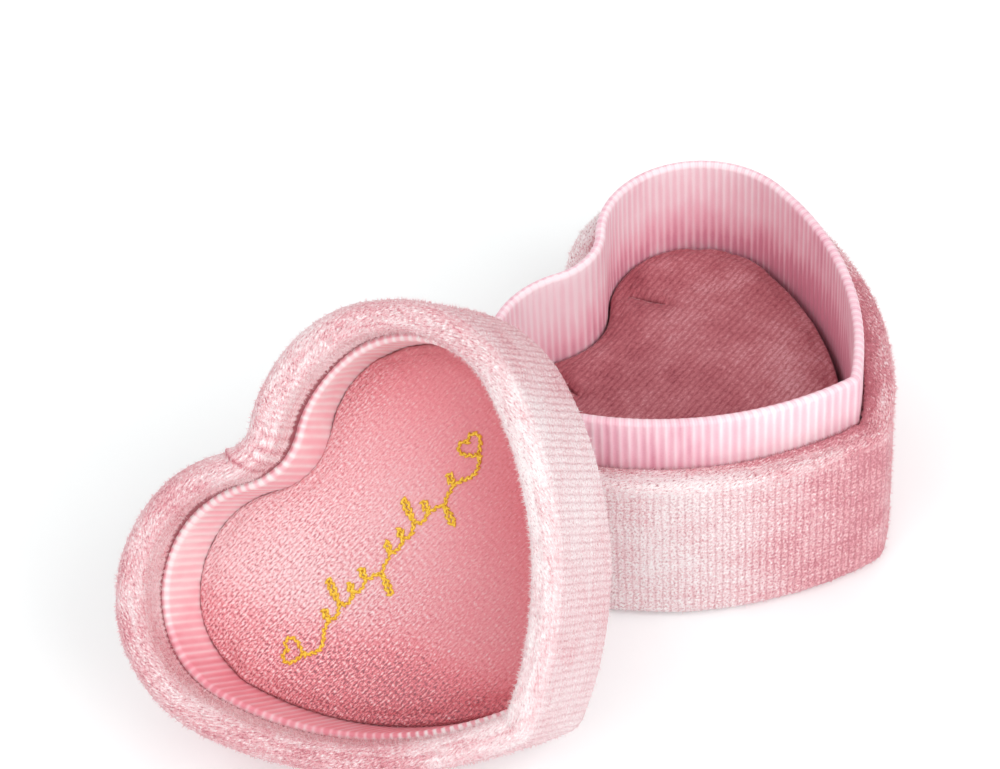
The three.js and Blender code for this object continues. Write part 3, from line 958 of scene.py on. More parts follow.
# %% [markdown]
# ## Velvet walls
#
# Each wall's velvet starts as a hem under the box, rounds the foot, goes up over the foam, swells
# into a soft rim and turns down inside as a flap, which the collar holds. The rim is wider than a
# plain rounded edge: it rises to a crest near the outside and falls gently to the collar. The
# section is drawn as three lines, the hem, the part that shows and the flap, so that the points
# can be closest where they show.

# %% The section of a velvet wall
VELVET_THICK = 0.5
FOOT_ROUND = 1.6
HEM = 4.0
WALL_INNER = 4.1  # the offset at which the velvet meets the collar
BASE_FLAP, LID_FLAP = 6.0, 8.0
BASE_RIM = {"crest": 1.1, "rise": 1.3, "fall": 0.25, "roll": 0.7}
LID_RIM = {"crest": 1.9, "rise": 2.4, "fall": 0.25, "roll": 1.5}
WALL_ROW, HIDDEN_ROW, BACK_ROW = 0.48, 1.2, 3.0


def wall_section(height, flap, rim):
    """The face that shows and the glued back of a wall's velvet, as offsets and heights."""
    shoulder = height - rim["rise"]
    roll = rim["roll"]
    edge = height - rim["fall"] - roll
    crest = rim["crest"]

    def line(skin):
        foot = WALL_HEM + FOOT_ROUND
        return (
            [(FOOT_ROUND + HEM, WALL_HEM + skin), (FOOT_ROUND, WALL_HEM + skin)],
            [
                *bend(FOOT_ROUND, foot, FOOT_ROUND - skin, FOOT_ROUND - skin, 270, 180, 6),
                *bend(crest, shoulder, crest - skin, rim["rise"] - skin, 180, 90, 9),
                *bend(WALL_INNER - roll, edge, roll - skin * 0.6, roll - skin, 80, 0, 6),
            ],
            [(WALL_INNER - skin, edge), (WALL_INNER - skin, height - flap)],
        )

    hem, shown, turned_in = line(0.0)
    under, over = divided(hem, HIDDEN_ROW)[:-1], divided(shown, WALL_ROW)
    face = np.vstack([under, over, divided(turned_in, WALL_ROW)[1:]])
    back = divided([point for part in line(VELVET_THICK) for point in part], BACK_ROW)
    return face, back[::-1]


print("a wall's velvet stands", round(BASE_HEIGHT, 2), "mm high, the lid's", round(LID_HEIGHT, 2), "mm")

# %% [markdown]
# The two ends of a wall's velvet meet in the notch, where one is glued over the other. The lap
# could be a strip of its own, but a closed sweep has no loose edges: the sweep is pushed out at
# once where the upper end stops, and the step fades away behind it. The cloth puckers beside the
# lap, and the lid's flap swells over its collar there.

# %% The lap at the notch
LAP = 0.55  # how far the cloth's overlapping end stands proud
LAP_RAISE = 0.6  # the part of it that also lifts the rim
LAP_PAST = 2.5  # how far that end reaches past the middle of the notch
LAP_SLANT = 0.4
LAP_FADE = 3.0
LAP_RIM = 1.5  # how far down from the rim the lifting reaches
PUCKER = 0.16
PUCKER_FADE = 9
PUCKER_DEPTH = 5  # how far down from the rim the puckers reach
BULGE = 0.8  # how far the turned-in flap swells over the collar beside the lap
BULGE_PLACE, BULGE_REACH = 14, 10
TURN_IN = 2.6  # the offset at which the outside of a wall becomes its inside


def beside_lap(around):
    """A soft hump on the right lobe, next to the lap."""
    return BULGE * np.exp(-(((around - BULGE_PLACE) / BULGE_REACH) ** 2))


def from_lap(around, offset):
    """How far round the heart places lie from the overlapping end, which runs a little askew."""
    return np.mod(around + LAP_PAST - LAP_SLANT * offset, heart_length(0))


def inner_share(offset):
    """0 on the outside of a wall and 1 on its inside, with a soft change between them."""
    return 1 / (1 + math.exp(-(offset - TURN_IN) * 4))


def proud(around, offset):
    """How far the overlapping end stands out, most at its edge."""
    return LAP * np.exp(-from_lap(around, offset) / LAP_FADE)


def lapped(height, swell):
    """Pushes for a wall of a given height, whose flap swells over the collar if swell is 1."""

    def pushed(around, offset, at):
        rim_part = math.exp(-(((at - height) / PUCKER_DEPTH) ** 2))
        inner_part = inner_share(offset)
        puckers = PUCKER * np.cos(2 * math.pi * around / VELVET_PITCH) * np.exp(-around / PUCKER_FADE)
        swelling = inner_part * swell * beside_lap(around)
        return inner_part * rim_part * puckers + swelling - proud(around, offset) * (1 - inner_part)

    return pushed


def raised(height):
    """How much higher the overlapping end makes the rim of a wall."""

    def lifted(around, offset, at):
        return LAP_RAISE * proud(around, offset) * math.exp(-(((at - height) / LAP_RIM) ** 2))

    return lifted


print("the lap stands", LAP, "mm proud and ends", LAP_PAST, "mm past the notch")

# %% [markdown]
# Hands have stroked the pile to and fro, and the sheen this gives it under the light is painted
# into a wall as pale and deep stretches, with painted light and shade on the wall, its rim and its
# inside as well. Noise would put them anywhere. Here each stroke has a place round the heart, a
# reach and a strength, so a wall's stretches can be read off one list. The rims are crushed, the
# cloth lies smooth beside the tip, and a painted shadow darkens the seams: the lap's crease, and on
# the lid the line where the velvet meets the ribbon, with a small tooth for each cord.

# %% How the pile lies on a wall
# painted sheen, light and shade: the levels darken the base's inside under its ribbon and lighten the
# lid's, and the strokes give pale and deep stretches round each wall
BASE_LEVELS = (-0.05, 0.05, -0.4)  # how pale the wall, its rim and its inside are
LID_LEVELS = (-0.1, -0.07, 0.1)
BASE_STROKES = [  # millimetres from the notch, reach in millimetres, how much paler
    (8, 15, 0.2), (78, 24, -0.32), (103, 10, -0.18),
    (111, 6, -0.08), (133, 10, 0.25), (143, 6, 0.1),
]
LID_STROKES = [
    (5, 20, 0.13), (34, 9, -0.14), (62, 10, 0.3), (75, 8, 0.14), (96, 14, 0.17),
    (122, 11, -0.24), (137, 10, -0.06), (160, 14, -0.1), (190, 8, -0.2),
]
SMOOTH_PLACE, SMOOTH_REACH, SMOOTHING = 92, 22, 0.42
SEAM_WIDTH = 0.35
SEAM_WIDER = [(9, 12, 1.2), (187, 8, 2.0)]  # where the ribbon's edge lies in more shadow
SEAM_TOOTH = 0.3
SEAM_DEPTH, SEAM_SHARPNESS = 0.95, 8
BASE_LAP_SHADE, LID_LAP_SHADE, LAP_SHADE_WIDTH = 0.5, 0.2, 0.25
CREASE_WIDTH, CREASE_SHADE = 0.35, 0.4
PLEAT_FADE, PLEAT_SHADE = 8, 0.25
RIM_REACH = 2.2  # how far down from the rim its own level reaches
CRUSHED_REACH = 1.3
INNER_CRUSH = 0.75
BASE_LIVELY, LID_LIVELY = 0.6, 0.1  # how much livelier a crushed rim's texture is
STRAY_FIBRES = 0.12  # the part of the rims' loose fibres that the walls have


def apart(around, place):
    """How far places round the heart lie from one of them, the shorter way."""
    gap = np.mod(around - place, heart_length(0))
    return np.minimum(gap, heart_length(0) - gap)


def hump(around, place, reach):
    """1 at a place round the heart, fading away over its reach."""
    return np.exp(-((apart(around, place) / reach) ** 2))


def stroked(height, levels, strokes):
    """How much paler each place's pile is painted as sheen, light and shade, by levels and strokes."""
    level, rim_level, inner_level = levels

    def brushed(around, offset, at):
        over_rim = math.exp(-(((at - height) / RIM_REACH) ** 2))
        nap = level + (rim_level - level) * over_rim + inner_level * inner_share(offset)
        for place, reach, strength in strokes:
            nap = nap + strength * hump(around, place, reach)
        crease = np.exp(-((from_lap(around, offset) / CREASE_WIDTH) ** 2))
        pleats = np.cos(2 * math.pi * around / VELVET_PITCH) * np.exp(-around / PLEAT_FADE)
        return nap - CREASE_SHADE * crease - PLEAT_SHADE * inner_share(offset) * pleats

    return brushed


def deepened(around, offset, at, lid):
    """How deep in shadow the cloth lies along the ribbon's edge and in the lap's crease."""
    strength = LID_LAP_SHADE if lid else BASE_LAP_SHADE
    crease = strength * np.exp(-((from_lap(around, offset) / LAP_SHADE_WIDTH) ** 2))
    crease = crease * inner_share(offset + 1.5)
    if not lid:
        return crease
    wide = SEAM_WIDTH
    for place, reach, more in SEAM_WIDER:
        wide = wide + more * hump(around, place, reach)
    teeth = SEAM_TOOTH * np.cos(2 * math.pi * around / VELVET_PITCH)
    over_edge = at - LID_COLLAR_EDGE - wide - teeth
    line = SEAM_DEPTH / (1 + np.exp(over_edge * SEAM_SHARPNESS)) * inner_share(offset)
    return np.maximum(line, crease)


def wall_pile(swept, height, brushed, lid):
    """The numbers that tell a wall's finish, and its loose fibres, how the pile lies."""
    around, section, shows = swept["around"], swept["section"], swept["shows"]
    nap = np.concatenate([brushed(around, offset, at) for offset, at in section])
    seam = np.concatenate([deepened(around, offset, at, lid) for offset, at in section])
    over_rim = np.exp(-(((section[:, 1] - height) / CRUSHED_REACH) ** 2)) * shows
    inner_part = np.array([inner_share(offset) for offset in section[:, 0]]) * shows
    crush = np.repeat(np.maximum(over_rim, INNER_CRUSH * inner_part), len(around))
    smooth = np.tile(hump(around, SMOOTH_PLACE, SMOOTH_REACH), len(section))
    rough = (LID_LIVELY if lid else BASE_LIVELY) * crush - SMOOTHING * smooth
    stray = np.maximum(crush, STRAY_FIBRES * np.repeat(shows, len(around)))
    loose = stray * (1 - np.clip(seam * 3, 0, 1))
    return {"nap": nap, "crush": crush, "rough": rough, "seam": seam, "loose": loose}


print("base has", len(BASE_STROKES), "strokes and lid has", len(LID_STROKES))

# %% [markdown]
# With the section, the lap and the pile at hand, both walls are the same few lines. The number of
# cords is a whole one, so that they close up all round, and each cord gets four columns of
# points, which is as few as still look round.

# %% Both walls
WALL_COLUMNS_PER_RIB = 4


def velvet_wall(name, height, flap, rim, swell, brushed, lid):
    """A wall's velvet; brushed gives, for each place, how much paler its pile is painted, as sheen,
    light and shade.
    """
    ribs = round(heart_length(0) / VELVET_PITCH)
    face, back = wall_section(height, flap, rim)
    pushed, lifted = lapped(height, swell), raised(height)
    swept = sweep(face, back, ribs * WALL_COLUMNS_PER_RIB, 0, pushed, lifted)
    piece = piece_from_sweep(name, swept, lid, **wall_pile(swept, height, brushed, lid))
    relief = {**VELVET_RELIEF, "Rib pitch": heart_length(0) / ribs, "Finish": outer_velvet}
    return baked(piece, RELIEF, relief)


base_brushed = stroked(BASE_HEIGHT, BASE_LEVELS, BASE_STROKES)
lid_brushed = stroked(LID_HEIGHT, LID_LEVELS, LID_STROKES)
base_wall = velvet_wall(
    "base_velvet_wall", BASE_HEIGHT, BASE_FLAP, BASE_RIM, 0, base_brushed, False)
lid_wall = velvet_wall(
    "lid_velvet_wall", LID_HEIGHT, LID_FLAP, LID_RIM, 1, lid_brushed, True)
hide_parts("base_wall_velvet")
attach(base_wall, "base")
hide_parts("lid_wall_velvet")
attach(lid_wall, "lid")

# %% [markdown]
# ## Loose pile on the rims
#
# A velvet rim never has a clean outline: single fibres stand off it and catch the light. Hair
# curves would do that, but the finished piece has to be a mesh. A second Geometry Nodes tree
# scatters thin three-sided spikes instead, thickly where the pile is crushed and a few on the
# walls, each leaning its own way. Every fibre takes over the nap of the place it grows from, so
# deep places have deep fibres.

# %% Fibres
def loose_finish():
    material, graph = new_material("Loose pile")
    # each fibre takes the painted sheen of the place it grows from
    nap = graph.painted("nap")
    chance = graph.noise(graph.solid(), 1 / (0.5 * MM), 1.0)
    shader = graph.add("ShaderNodeBsdfPrincipled", {}, {
        "Base Color": graph.ramp((0.62 + nap + (chance - 0.5) * 1.2).clamped(), OUTER_PINKS),
        "Roughness": 0.6,
        "Specular IOR Level": 0.4,
    })
    finish_material(graph, shader)
    return material


def fibre_tree():
    sizes = ["Fibres per mm2", "Fibre length", "Fibre thickness", "Lean"]
    graph, given = new_tree("Loose pile", sizes)
    density = stored(graph, "loose") * given["Fibres per mm2"] / MM / MM
    sockets = {"Mesh": given["Geometry"], "Density": density, "Seed": 3}
    roots = graph.add(
        "GeometryNodeDistributePointsOnFaces", {"distribute_method": "RANDOM"}, sockets, "Points")
    normal = Wire(graph, roots.socket.node.outputs["Normal"])
    chance = graph.add("FunctionNodeRandomValue", {"data_type": "FLOAT_VECTOR"},
                       {"Min": (-1, -1, -1), "Max": (1, 1, 1), "Seed": 1}, "Value")
    heading = added(graph, normal, scaled(graph, chance, given["Lean"]))
    turned = graph.add("FunctionNodeAlignRotationToVector", {"axis": "Z"}, {"Vector": heading})
    spike = graph.add("GeometryNodeMeshCone", {"fill_type": "NGON"}, {
        "Vertices": 3, "Side Segments": 1, "Fill Segments": 1,
        "Radius Top": 0.0, "Radius Bottom": 0.5 * MM, "Depth": 1.0 * MM}, "Mesh")
    stretch = graph.add("FunctionNodeRandomValue", {"data_type": "FLOAT"},
                        {"Min": 0.6, "Max": 1.3, "Seed": 2}, "Value")
    thickness = given["Fibre thickness"]
    size = graph.vector(thickness, thickness, given["Fibre length"] * stretch)
    fibres = graph.add("GeometryNodeInstanceOnPoints", {},
                       {"Points": roots, "Instance": spike, "Rotation": turned, "Scale": size})
    return finished_tree(graph, fibres, given["Finish"])


FIBRES = fibre_tree()
FIBRE_SIZES = {
    "Fibres per mm2": 9.0, "Fibre length": 0.6, "Fibre thickness": 0.1, "Lean": 1.1,
    "Finish": loose_finish(),
}


def loose_pile(name, wall, body):
    """A wall's loose fibres, as a piece of their own."""
    piece = bpy.data.objects.new(name, wall.data.copy())
    scene.collection.objects.link(piece)
    baked(piece, FIBRES, FIBRE_SIZES)
    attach(piece, body)


loose_pile("base_loose_pile", base_wall, "base")
loose_pile("lid_loose_pile", lid_wall, "lid")

# %% [markdown]
# ## Ribbon collars
#
# The ribbon is tucked down the outside of the collar card, folds over its edge and runs down the
# inside to the floor, with its ribs upright all the way. It is swept like the walls, because the
# fold needs a round edge for the light to catch, with a whole number of ribs, so that they close
# up without a half rib.

# %% The section of a ribbon collar
RIBBON_THICK = 0.3
COLLAR_WALL = 1.6
RIB_ROOM = 0.12  # the ribs stand up from a section that is drawn this much smaller
BASE_TUCK, LID_TUCK = 12.0, 3.0  # how far the ribbon goes down the outside of its collar
RIBBON_ROW, RIBBON_BACK_ROW = 1.2, 3.0


def collar_section(outer, edge, tuck, foot):
    """The face that shows and the glued back of a collar's ribbon, as offsets and heights."""
    inner = outer + COLLAR_WALL - RIB_ROOM
    outer = outer + RIB_ROOM
    half = (inner - outer) / 2
    edge = edge - RIB_ROOM

    def line(skin):
        return [
            (outer + skin, edge - half - tuck),
            *bend(outer + half, edge - half, half - skin, half - skin, 180, 0, 12),
            (inner - skin, foot),
        ]

    return divided(line(0.0), RIBBON_ROW), divided(line(RIBBON_THICK), RIBBON_BACK_ROW)[::-1]


print("the collars' edges are at", round(BASE_COLLAR_EDGE, 2), "and", round(LID_COLLAR_EDGE, 2), "mm")

# %% [markdown]
# New ribbon would look the same all round. This one has a painted gleam all along the base's fold
# but only at a few places of the lid's, painted light makes it paler in some places and painted
# shade deeper in others, and inside the base a painted shadow falls under its edge. Its mesh
# carries all of that for the finish.

# %% The ribbon collars
COLUMNS_PER_RIBBON_RIB = 8
FOLD_GLEAMS = [187, 107, 45]  # places round the lid's heart, in millimetres from the notch
GLEAM_REACH = 11
# painted shade and light: place, reach and how much deeper it is painted, paler below nought
BASE_PAINTED_SHADE_AND_LIGHT = [  # place, reach, how much deeper, and whether it is on the inside
    (25, 32, -1.1, True), (188, 12, -1.2, True), (66, 12, 0.4, True), (112, 12, -0.9, False),
]
LID_PAINTED_SHADE_AND_LIGHT = [
    (174, 12, -1.2, True), (20, 22, -1.2, True), (149, 12, 0.6, True), (117, 14, 0.9, True),
]
BASE_FOLD, LID_FOLD = 1.1, 1.5  # how far under the edge the fold begins
FOLD_BLEND = 0.7
FOLD_FLATTENS = 0.6  # the part of the ribs' relief that the fold takes away
# painted shadow inside the base's collar, under its edge
SHADED_BELOW, SHADE_BLEND, SHADE_DEPTH = 7, 7, 1.5  # from the base collar's edge down


def ribbon_wear(swept, outer, edge, shade_and_light_places, lid):
    """How far each row lies over the edge, where the fold gleams, and its painted shade and light."""
    station = swept["around"] * heart_length(0) / swept["length"]
    height = swept["section"][:, 1]
    over_edge = np.clip((height - edge + (LID_FOLD if lid else BASE_FOLD)) / FOLD_BLEND, 0, 1)
    turned_in = swept["section"][:, 0] > outer + COLLAR_WALL / 2
    deep = np.zeros((len(height), len(station)))
    for place, reach, depth, inner in shade_and_light_places:
        deep += depth * hump(station, place, reach) * (turned_in == inner)[:, None]
    below = np.clip((edge - SHADED_BELOW - height) / SHADE_BLEND, 0, 1)
    deep += (0.0 if lid else SHADE_DEPTH) * (below * turned_in)[:, None]
    gleams = np.ones(len(station))
    if lid:
        gleams = sum(hump(station, place, GLEAM_REACH) for place in FOLD_GLEAMS)
    return over_edge, np.outer(over_edge, gleams), deep


def ribbon_collar(name, outer, edge, tuck, foot, finish, pushed, shade_and_light_places, lid):
    """A collar's ribbon, with a list of where painted shade makes it deeper and painted light paler."""
    ribs = round(heart_length(outer) / RIBBON_PITCH)
    face, back = collar_section(outer, edge, tuck, foot)
    swept = sweep(face, back, ribs * COLUMNS_PER_RIBBON_RIB, outer, pushed)
    stretch = ribs * RIBBON_PITCH / swept["length"]
    swept["around"] = swept["around"] * stretch
    swept["length"] = swept["length"] * stretch
    over_edge, fold, deep = ribbon_wear(swept, outer, edge, shade_and_light_places, lid)
    swept["shows"] = swept["shows"] * (1 - FOLD_FLATTENS * over_edge)
    piece = piece_from_sweep(name, swept, lid, fold=fold.ravel(), deep=deep.ravel())
    return baked(piece, RELIEF, {**RIBBON_RELIEF, "Finish": finish})


def leaning_in(around, offset, at):
    """The lid's collar gives way a little beside the lap, most at its edge."""
    share = np.clip((at - PANEL_TOP - 3) / (LID_COLLAR_EDGE - PANEL_TOP - 3), 0, 1)
    return share * beside_lap(around)


base_collar = ribbon_collar(
    "base_ribbon", BASE_COLLAR, BASE_COLLAR_EDGE, BASE_TUCK, BASE_COLLAR_FOOT,
    base_ribbon, None, BASE_PAINTED_SHADE_AND_LIGHT, False)
lid_collar = ribbon_collar(
    "lid_ribbon", LID_COLLAR, LID_COLLAR_EDGE, LID_TUCK, LID_COLLAR_FOOT,
    lid_ribbon, leaning_in, LID_PAINTED_SHADE_AND_LIGHT, True)
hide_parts("base_collar_ribbon")
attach(base_collar, "base")
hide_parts("lid_collar_ribbon")
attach(lid_collar, "lid")

# %% [markdown]
# ## Filled hearts
#
# The faces of the pads and the flat ends of the box are whole hearts of cloth. A fan or a few
# rings would crowd the points at the middle. A constrained Delaunay triangulation fills any
# outline, slits included, around a grid of points that suits the ribs: close together across them
# and further apart along them.

# %% Filling an outline
def inside(points, outline):
    """Whether each point lies inside an outline: a line from it to the right crosses it oddly."""
    x, y = points[:, :1], points[:, 1:2]
    start, end = outline, np.roll(outline, -1, 0)
    crosses = (start[:, 1] > y) != (end[:, 1] > y)
    rise = np.where(np.abs(end[:, 1] - start[:, 1]) < 1e-9, 1e-9, end[:, 1] - start[:, 1])
    meets = start[:, 0] + (y - start[:, 1]) / rise * (end[:, 0] - start[:, 0])
    return (crosses & (x < meets)).sum(1) % 2 == 1


def search_tree(points):
    """Flat or solid points, kept so that the nearest one is found quickly."""
    tree = kdtree.KDTree(len(points))
    for i, point in enumerate(points):
        tree.insert(point if len(point) == 3 else (*point, 0), i)
    tree.balance()
    return tree


def filled(outline, holes, spacing):
    """Points and triangles of an outline with holes; the outline's points come first."""
    edges, loops, first = [], [outline, *holes], 0
    for loop in loops:
        edges += [(first + i, first + (i + 1) % len(loop)) for i in range(len(loop))]
        first += len(loop)
    border = np.vstack(loops)
    low, high = outline.min(0), outline.max(0)
    across = np.arange(math.floor(low[0] / spacing[0]), high[0] / spacing[0]) * spacing[0]
    up = np.arange(math.floor(low[1] / spacing[1]), high[1] / spacing[1]) * spacing[1]
    grid = np.stack(np.meshgrid(across, up), -1).reshape(-1, 2)
    keep = inside(grid, outline)
    for hole in holes:
        keep &= ~inside(grid, hole)
    tree = search_tree(border)
    room = 0.7 * min(spacing)
    grid = np.array([p for p in grid[keep] if tree.find((*p, 0))[2] > room])
    points = np.vstack([border, grid])
    result = delaunay_2d_cdt([Vector(p) for p in points], edges, [], 1, 1e-7)
    source = [sources[0] for sources in result[3]]
    triangles = np.array([[source[v] for v in face] for face in result[2]])
    centres = points[triangles].mean(1)
    keep = np.ones(len(triangles), bool)
    for hole in holes:
        keep &= ~inside(centres, hole)
    triangles = triangles[keep]
    corner = points[triangles]
    turn = np.cross(corner[:, 1] - corner[:, 0], corner[:, 2] - corner[:, 0])
    triangles[turn < 0] = triangles[turn < 0][:, ::-1]
    return points, triangles


print("hearts can be filled")

# %% [markdown]
# A pad is a closed shape: a filled heart, rings down its side and under its hem, and a second
# heart inside. Each part could be a mesh of its own, but parts that only touch leave open seams.
# So the parts are gathered in one shell that remembers every ring's point numbers, and the rings
# are joined before the mesh is made.

# %% Gathering a closed shape
class Shell:
    """Points, faces, cloth map and relief of a closed shape, gathered part by part."""

    def __init__(self):
        self.points, self.cloth, self.pile, self.faces = [], [], [], []
        self.count = 0

    def level(self, flat, height, cloth, pile):
        """Adds flat points at one height and gives their numbers."""
        first = self.count
        self.points.append(np.column_stack([flat, np.full(len(flat), height)]))
        self.cloth.append(cloth)
        self.pile.append(np.full(len(flat), float(pile)))
        self.count += len(flat)
        return np.arange(first, self.count)

    def cap(self, outline, holes, height, spacing, pile, upwards):
        """A filled heart at one height; gives its outline's and its holes' point numbers."""
        flat, triangles = filled(outline, holes, spacing)
        numbers = self.level(flat, height, flat[:, ::-1], pile)
        if not upwards:
            triangles = triangles[:, ::-1]
        self.faces += numbers[triangles].tolist()
        borders, first = [], 0
        for loop in [outline, *holes]:
            borders.append(numbers[first : first + len(loop)])
            first += len(loop)
        return borders

    def join(self, ring_a, ring_b):
        """Quads between two rings of the same number of points."""
        next_a, next_b = np.roll(ring_a, -1), np.roll(ring_b, -1)
        self.faces += np.stack([ring_a, ring_b, next_b, next_a], 1).tolist()

    def join_all(self, rings):
        """Joins each ring to the next."""
        for ring_a, ring_b in zip(rings, rings[1:]):
            self.join(ring_a, ring_b)

    def arrays(self):
        return np.vstack(self.points), np.vstack(self.cloth), np.concatenate(self.pile)


def facing_out(points, faces):
    """The faces of a closed shape, turned so that all of them face outwards."""
    shape = bmesh.new()
    corners = [shape.verts.new(p) for p in points]
    for face in faces:
        shape.faces.new([corners[i] for i in face])
    bmesh.ops.recalc_face_normals(shape, faces=shape.faces)
    if shape.calc_volume(signed=True) < 0:
        bmesh.ops.reverse_faces(shape, faces=shape.faces)
    shape.verts.index_update()
    turned = [[v.index for v in face.verts] for face in shape.faces]
    shape.free()
    return turned


print("closed shapes can be gathered")

# %% [markdown]
# ## Padding with the Cloth modifier
#
# Foam under stretched velvet has a crown that no simple formula gives: it is highest in the
# middle, falls away faster at the tip and the notch, and rounds off at the edge. A small closed
# model of the pad is blown up gently by the Cloth modifier's pressure, with its lower part held by
# the card. Cloth likes sizes of tens of centimetres, so the model is made ten times too big for
# the simulation.

# %% The pressure simulation
SIM_SCALE = 10.0
SIM_FRAMES = 20
SIM_SPACING = 1.5
PRESSURE = 4.0
CLOTH_MASS = 0.3


def simulated(name, points, faces, held):
    """Where the points of a closed model go when it is blown up, in millimetres."""
    mesh = bpy.data.meshes.new(name)
    mesh.from_pydata((points * MM * SIM_SCALE).tolist(), [], faces)
    balloon = bpy.data.objects.new(name, mesh)
    scene.collection.objects.link(balloon)
    group = balloon.vertex_groups.new(name="held")
    group.add([int(i) for i in held], 1.0, "REPLACE")
    cloth = balloon.modifiers.new("Cloth", "CLOTH")
    cloth.settings.quality = 5
    cloth.settings.mass = CLOTH_MASS
    cloth.settings.vertex_group_mass = "held"
    cloth.settings.use_pressure = True
    cloth.settings.uniform_pressure_force = PRESSURE
    cloth.settings.effector_weights.gravity = 0.0
    cloth.point_cache.frame_start = 1
    cloth.point_cache.frame_end = SIM_FRAMES
    for number in range(1, SIM_FRAMES + 1):
        scene.frame_set(number)
    evaluated = balloon.evaluated_get(bpy.context.evaluated_depsgraph_get())
    flat = np.empty(len(evaluated.data.vertices) * 3)
    evaluated.data.vertices.foreach_get("co", flat)
    after = flat.reshape(-1, 3) / (MM * SIM_SCALE)
    bpy.data.objects.remove(balloon)
    bpy.data.meshes.remove(mesh)
    scene.frame_set(1)
    return after


print("padding is simulated at", SIM_SCALE, "times its size")

# %% [markdown]
# What the simulation gives is how far each point of the coarse pad moved. The finely meshed
# velvet takes that movement from its nearest simulated points, so the fine mesh never has to be
# simulated itself. The movement is also kept under a limit, because the real foam fills out only
# so far.

# %% From the coarse pad to the velvet
NEIGHBOURS = 6
SOFTENING = 0.15  # keeps a point that lies on a simulated one from following it alone


def crown(name, offset, foot, top, edge_round, rise):
    """Points of a coarse pad and how far the stuffing moves them, at most rise."""
    shell = Shell()
    columns = round(heart_length(offset) / SIM_SPACING)
    line = bend(offset + edge_round, top - edge_round, edge_round, edge_round, 90, 180, 2)
    line += [(offset, height) for height in np.linspace(top - edge_round, foot, 5)[1:]]
    middle_heart = heart(line[0][0], columns, offset)
    rings = shell.cap(middle_heart, [], line[0][1], (SIM_SPACING,) * 2, 1, True)
    for ring_offset, height in line[1:]:
        flat = heart(ring_offset, columns, offset)
        rings.append(shell.level(flat, height, flat, 1))
    shell.join_all(rings)
    flat, triangles = filled(heart(offset, columns, offset), [], (SIM_SPACING * 2,) * 2)
    inner = shell.level(flat[columns:], foot, flat[columns:], 0)
    numbers = np.concatenate([rings[-1], inner])
    shell.faces += numbers[triangles[:, ::-1]].tolist()
    points, _, _ = shell.arrays()
    faces = facing_out(points, shell.faces)
    held = np.flatnonzero(points[:, 2] < top - edge_round - 0.1)
    move = simulated(name, points, faces, held) - points
    length = np.linalg.norm(move, axis=1)
    print(name, "moves", round(length.max(), 2), "mm at most, and is kept to", rise)
    softened = rise * np.tanh(length / rise)
    return points, move * (softened / np.maximum(length, 1e-9))[:, None]


def carried(points, model):
    """The movement of a coarse model, spread over other points by nearness."""
    rest, move = model
    tree = search_tree(rest)
    result = np.zeros_like(points)
    for i, point in enumerate(points):
        near = tree.find_n(point, NEIGHBOURS)
        weight = np.array([1 / (distance + SOFTENING) ** 2 for _, _, distance in near])
        moves = move[[number for _, number, _ in near]]
        result[i] = (moves * weight[:, None]).sum(0) / weight.sum()
    return result


print("velvet follows its", NEIGHBOURS, "nearest simulated points")

# %% [markdown]
# ## The velvet of a pad
#
# A pad's velvet is a tray turned upside down: a face, a rounded edge, a side and a hem glued under
# the card, all half a millimetre thick. Where the pad has slits the cloth dips into them, and the
# cut edges stand up a little unevenly.

# %% Building a pad's velvet
PAD_GRID = (0.5, 0.2)
LINING_GRID = (2.5, 2.5)
PAD_COLUMNS = 480
SLIT_LIPS = 36
SLIT_WIDTH, LINING_SLIT_WIDTH = 0.5, 0.62
POCKET_STEPS = (0.15, 0.5, 1.0)  # shares of a slit's depth


def slit_directions(slit):
    """Flat directions along and across a slit."""
    lean = slit["lean"]
    return np.array([-math.sin(lean), math.cos(lean)]), np.array([math.cos(lean), math.sin(lean)])


def slit_outline(slit, width):
    """A long thin leaf shape round a slit."""
    turn = np.linspace(0, 2 * math.pi, SLIT_LIPS, endpoint=False)
    along = np.cos(turn) * slit["length"] / 2
    aside = np.sin(turn) * np.abs(np.sin(turn)) ** 0.3 * width / 2
    direction, across = slit_directions(slit)
    return slit["middle"] + along[:, None] * direction + aside[:, None] * across


def round_slit(points, slit):
    """How far the cloth dips towards a slit, lifts at its lips and puckers round it."""
    direction, across = slit_directions(slit)
    away = points[:, :2] - slit["middle"]
    along, aside = away @ direction, away @ across
    beyond = np.maximum(np.abs(along) - slit["length"] / 2, 0)
    distance = np.hypot(beyond, aside)
    dip = -0.6 * np.exp(-((distance / 1.5) ** 2)) - 0.2 * np.exp(-distance / 4)
    lip = 0.35 * np.exp(-(((aside - 1.3) / 0.8) ** 2)) * (np.abs(along) < slit["length"] / 2)
    folds = 0.16 * np.cos(4 * np.arctan2(aside, along) + 0.6) * np.exp(-distance / 3)
    folds *= 1 - np.exp(-distance)
    return dip + lip + folds


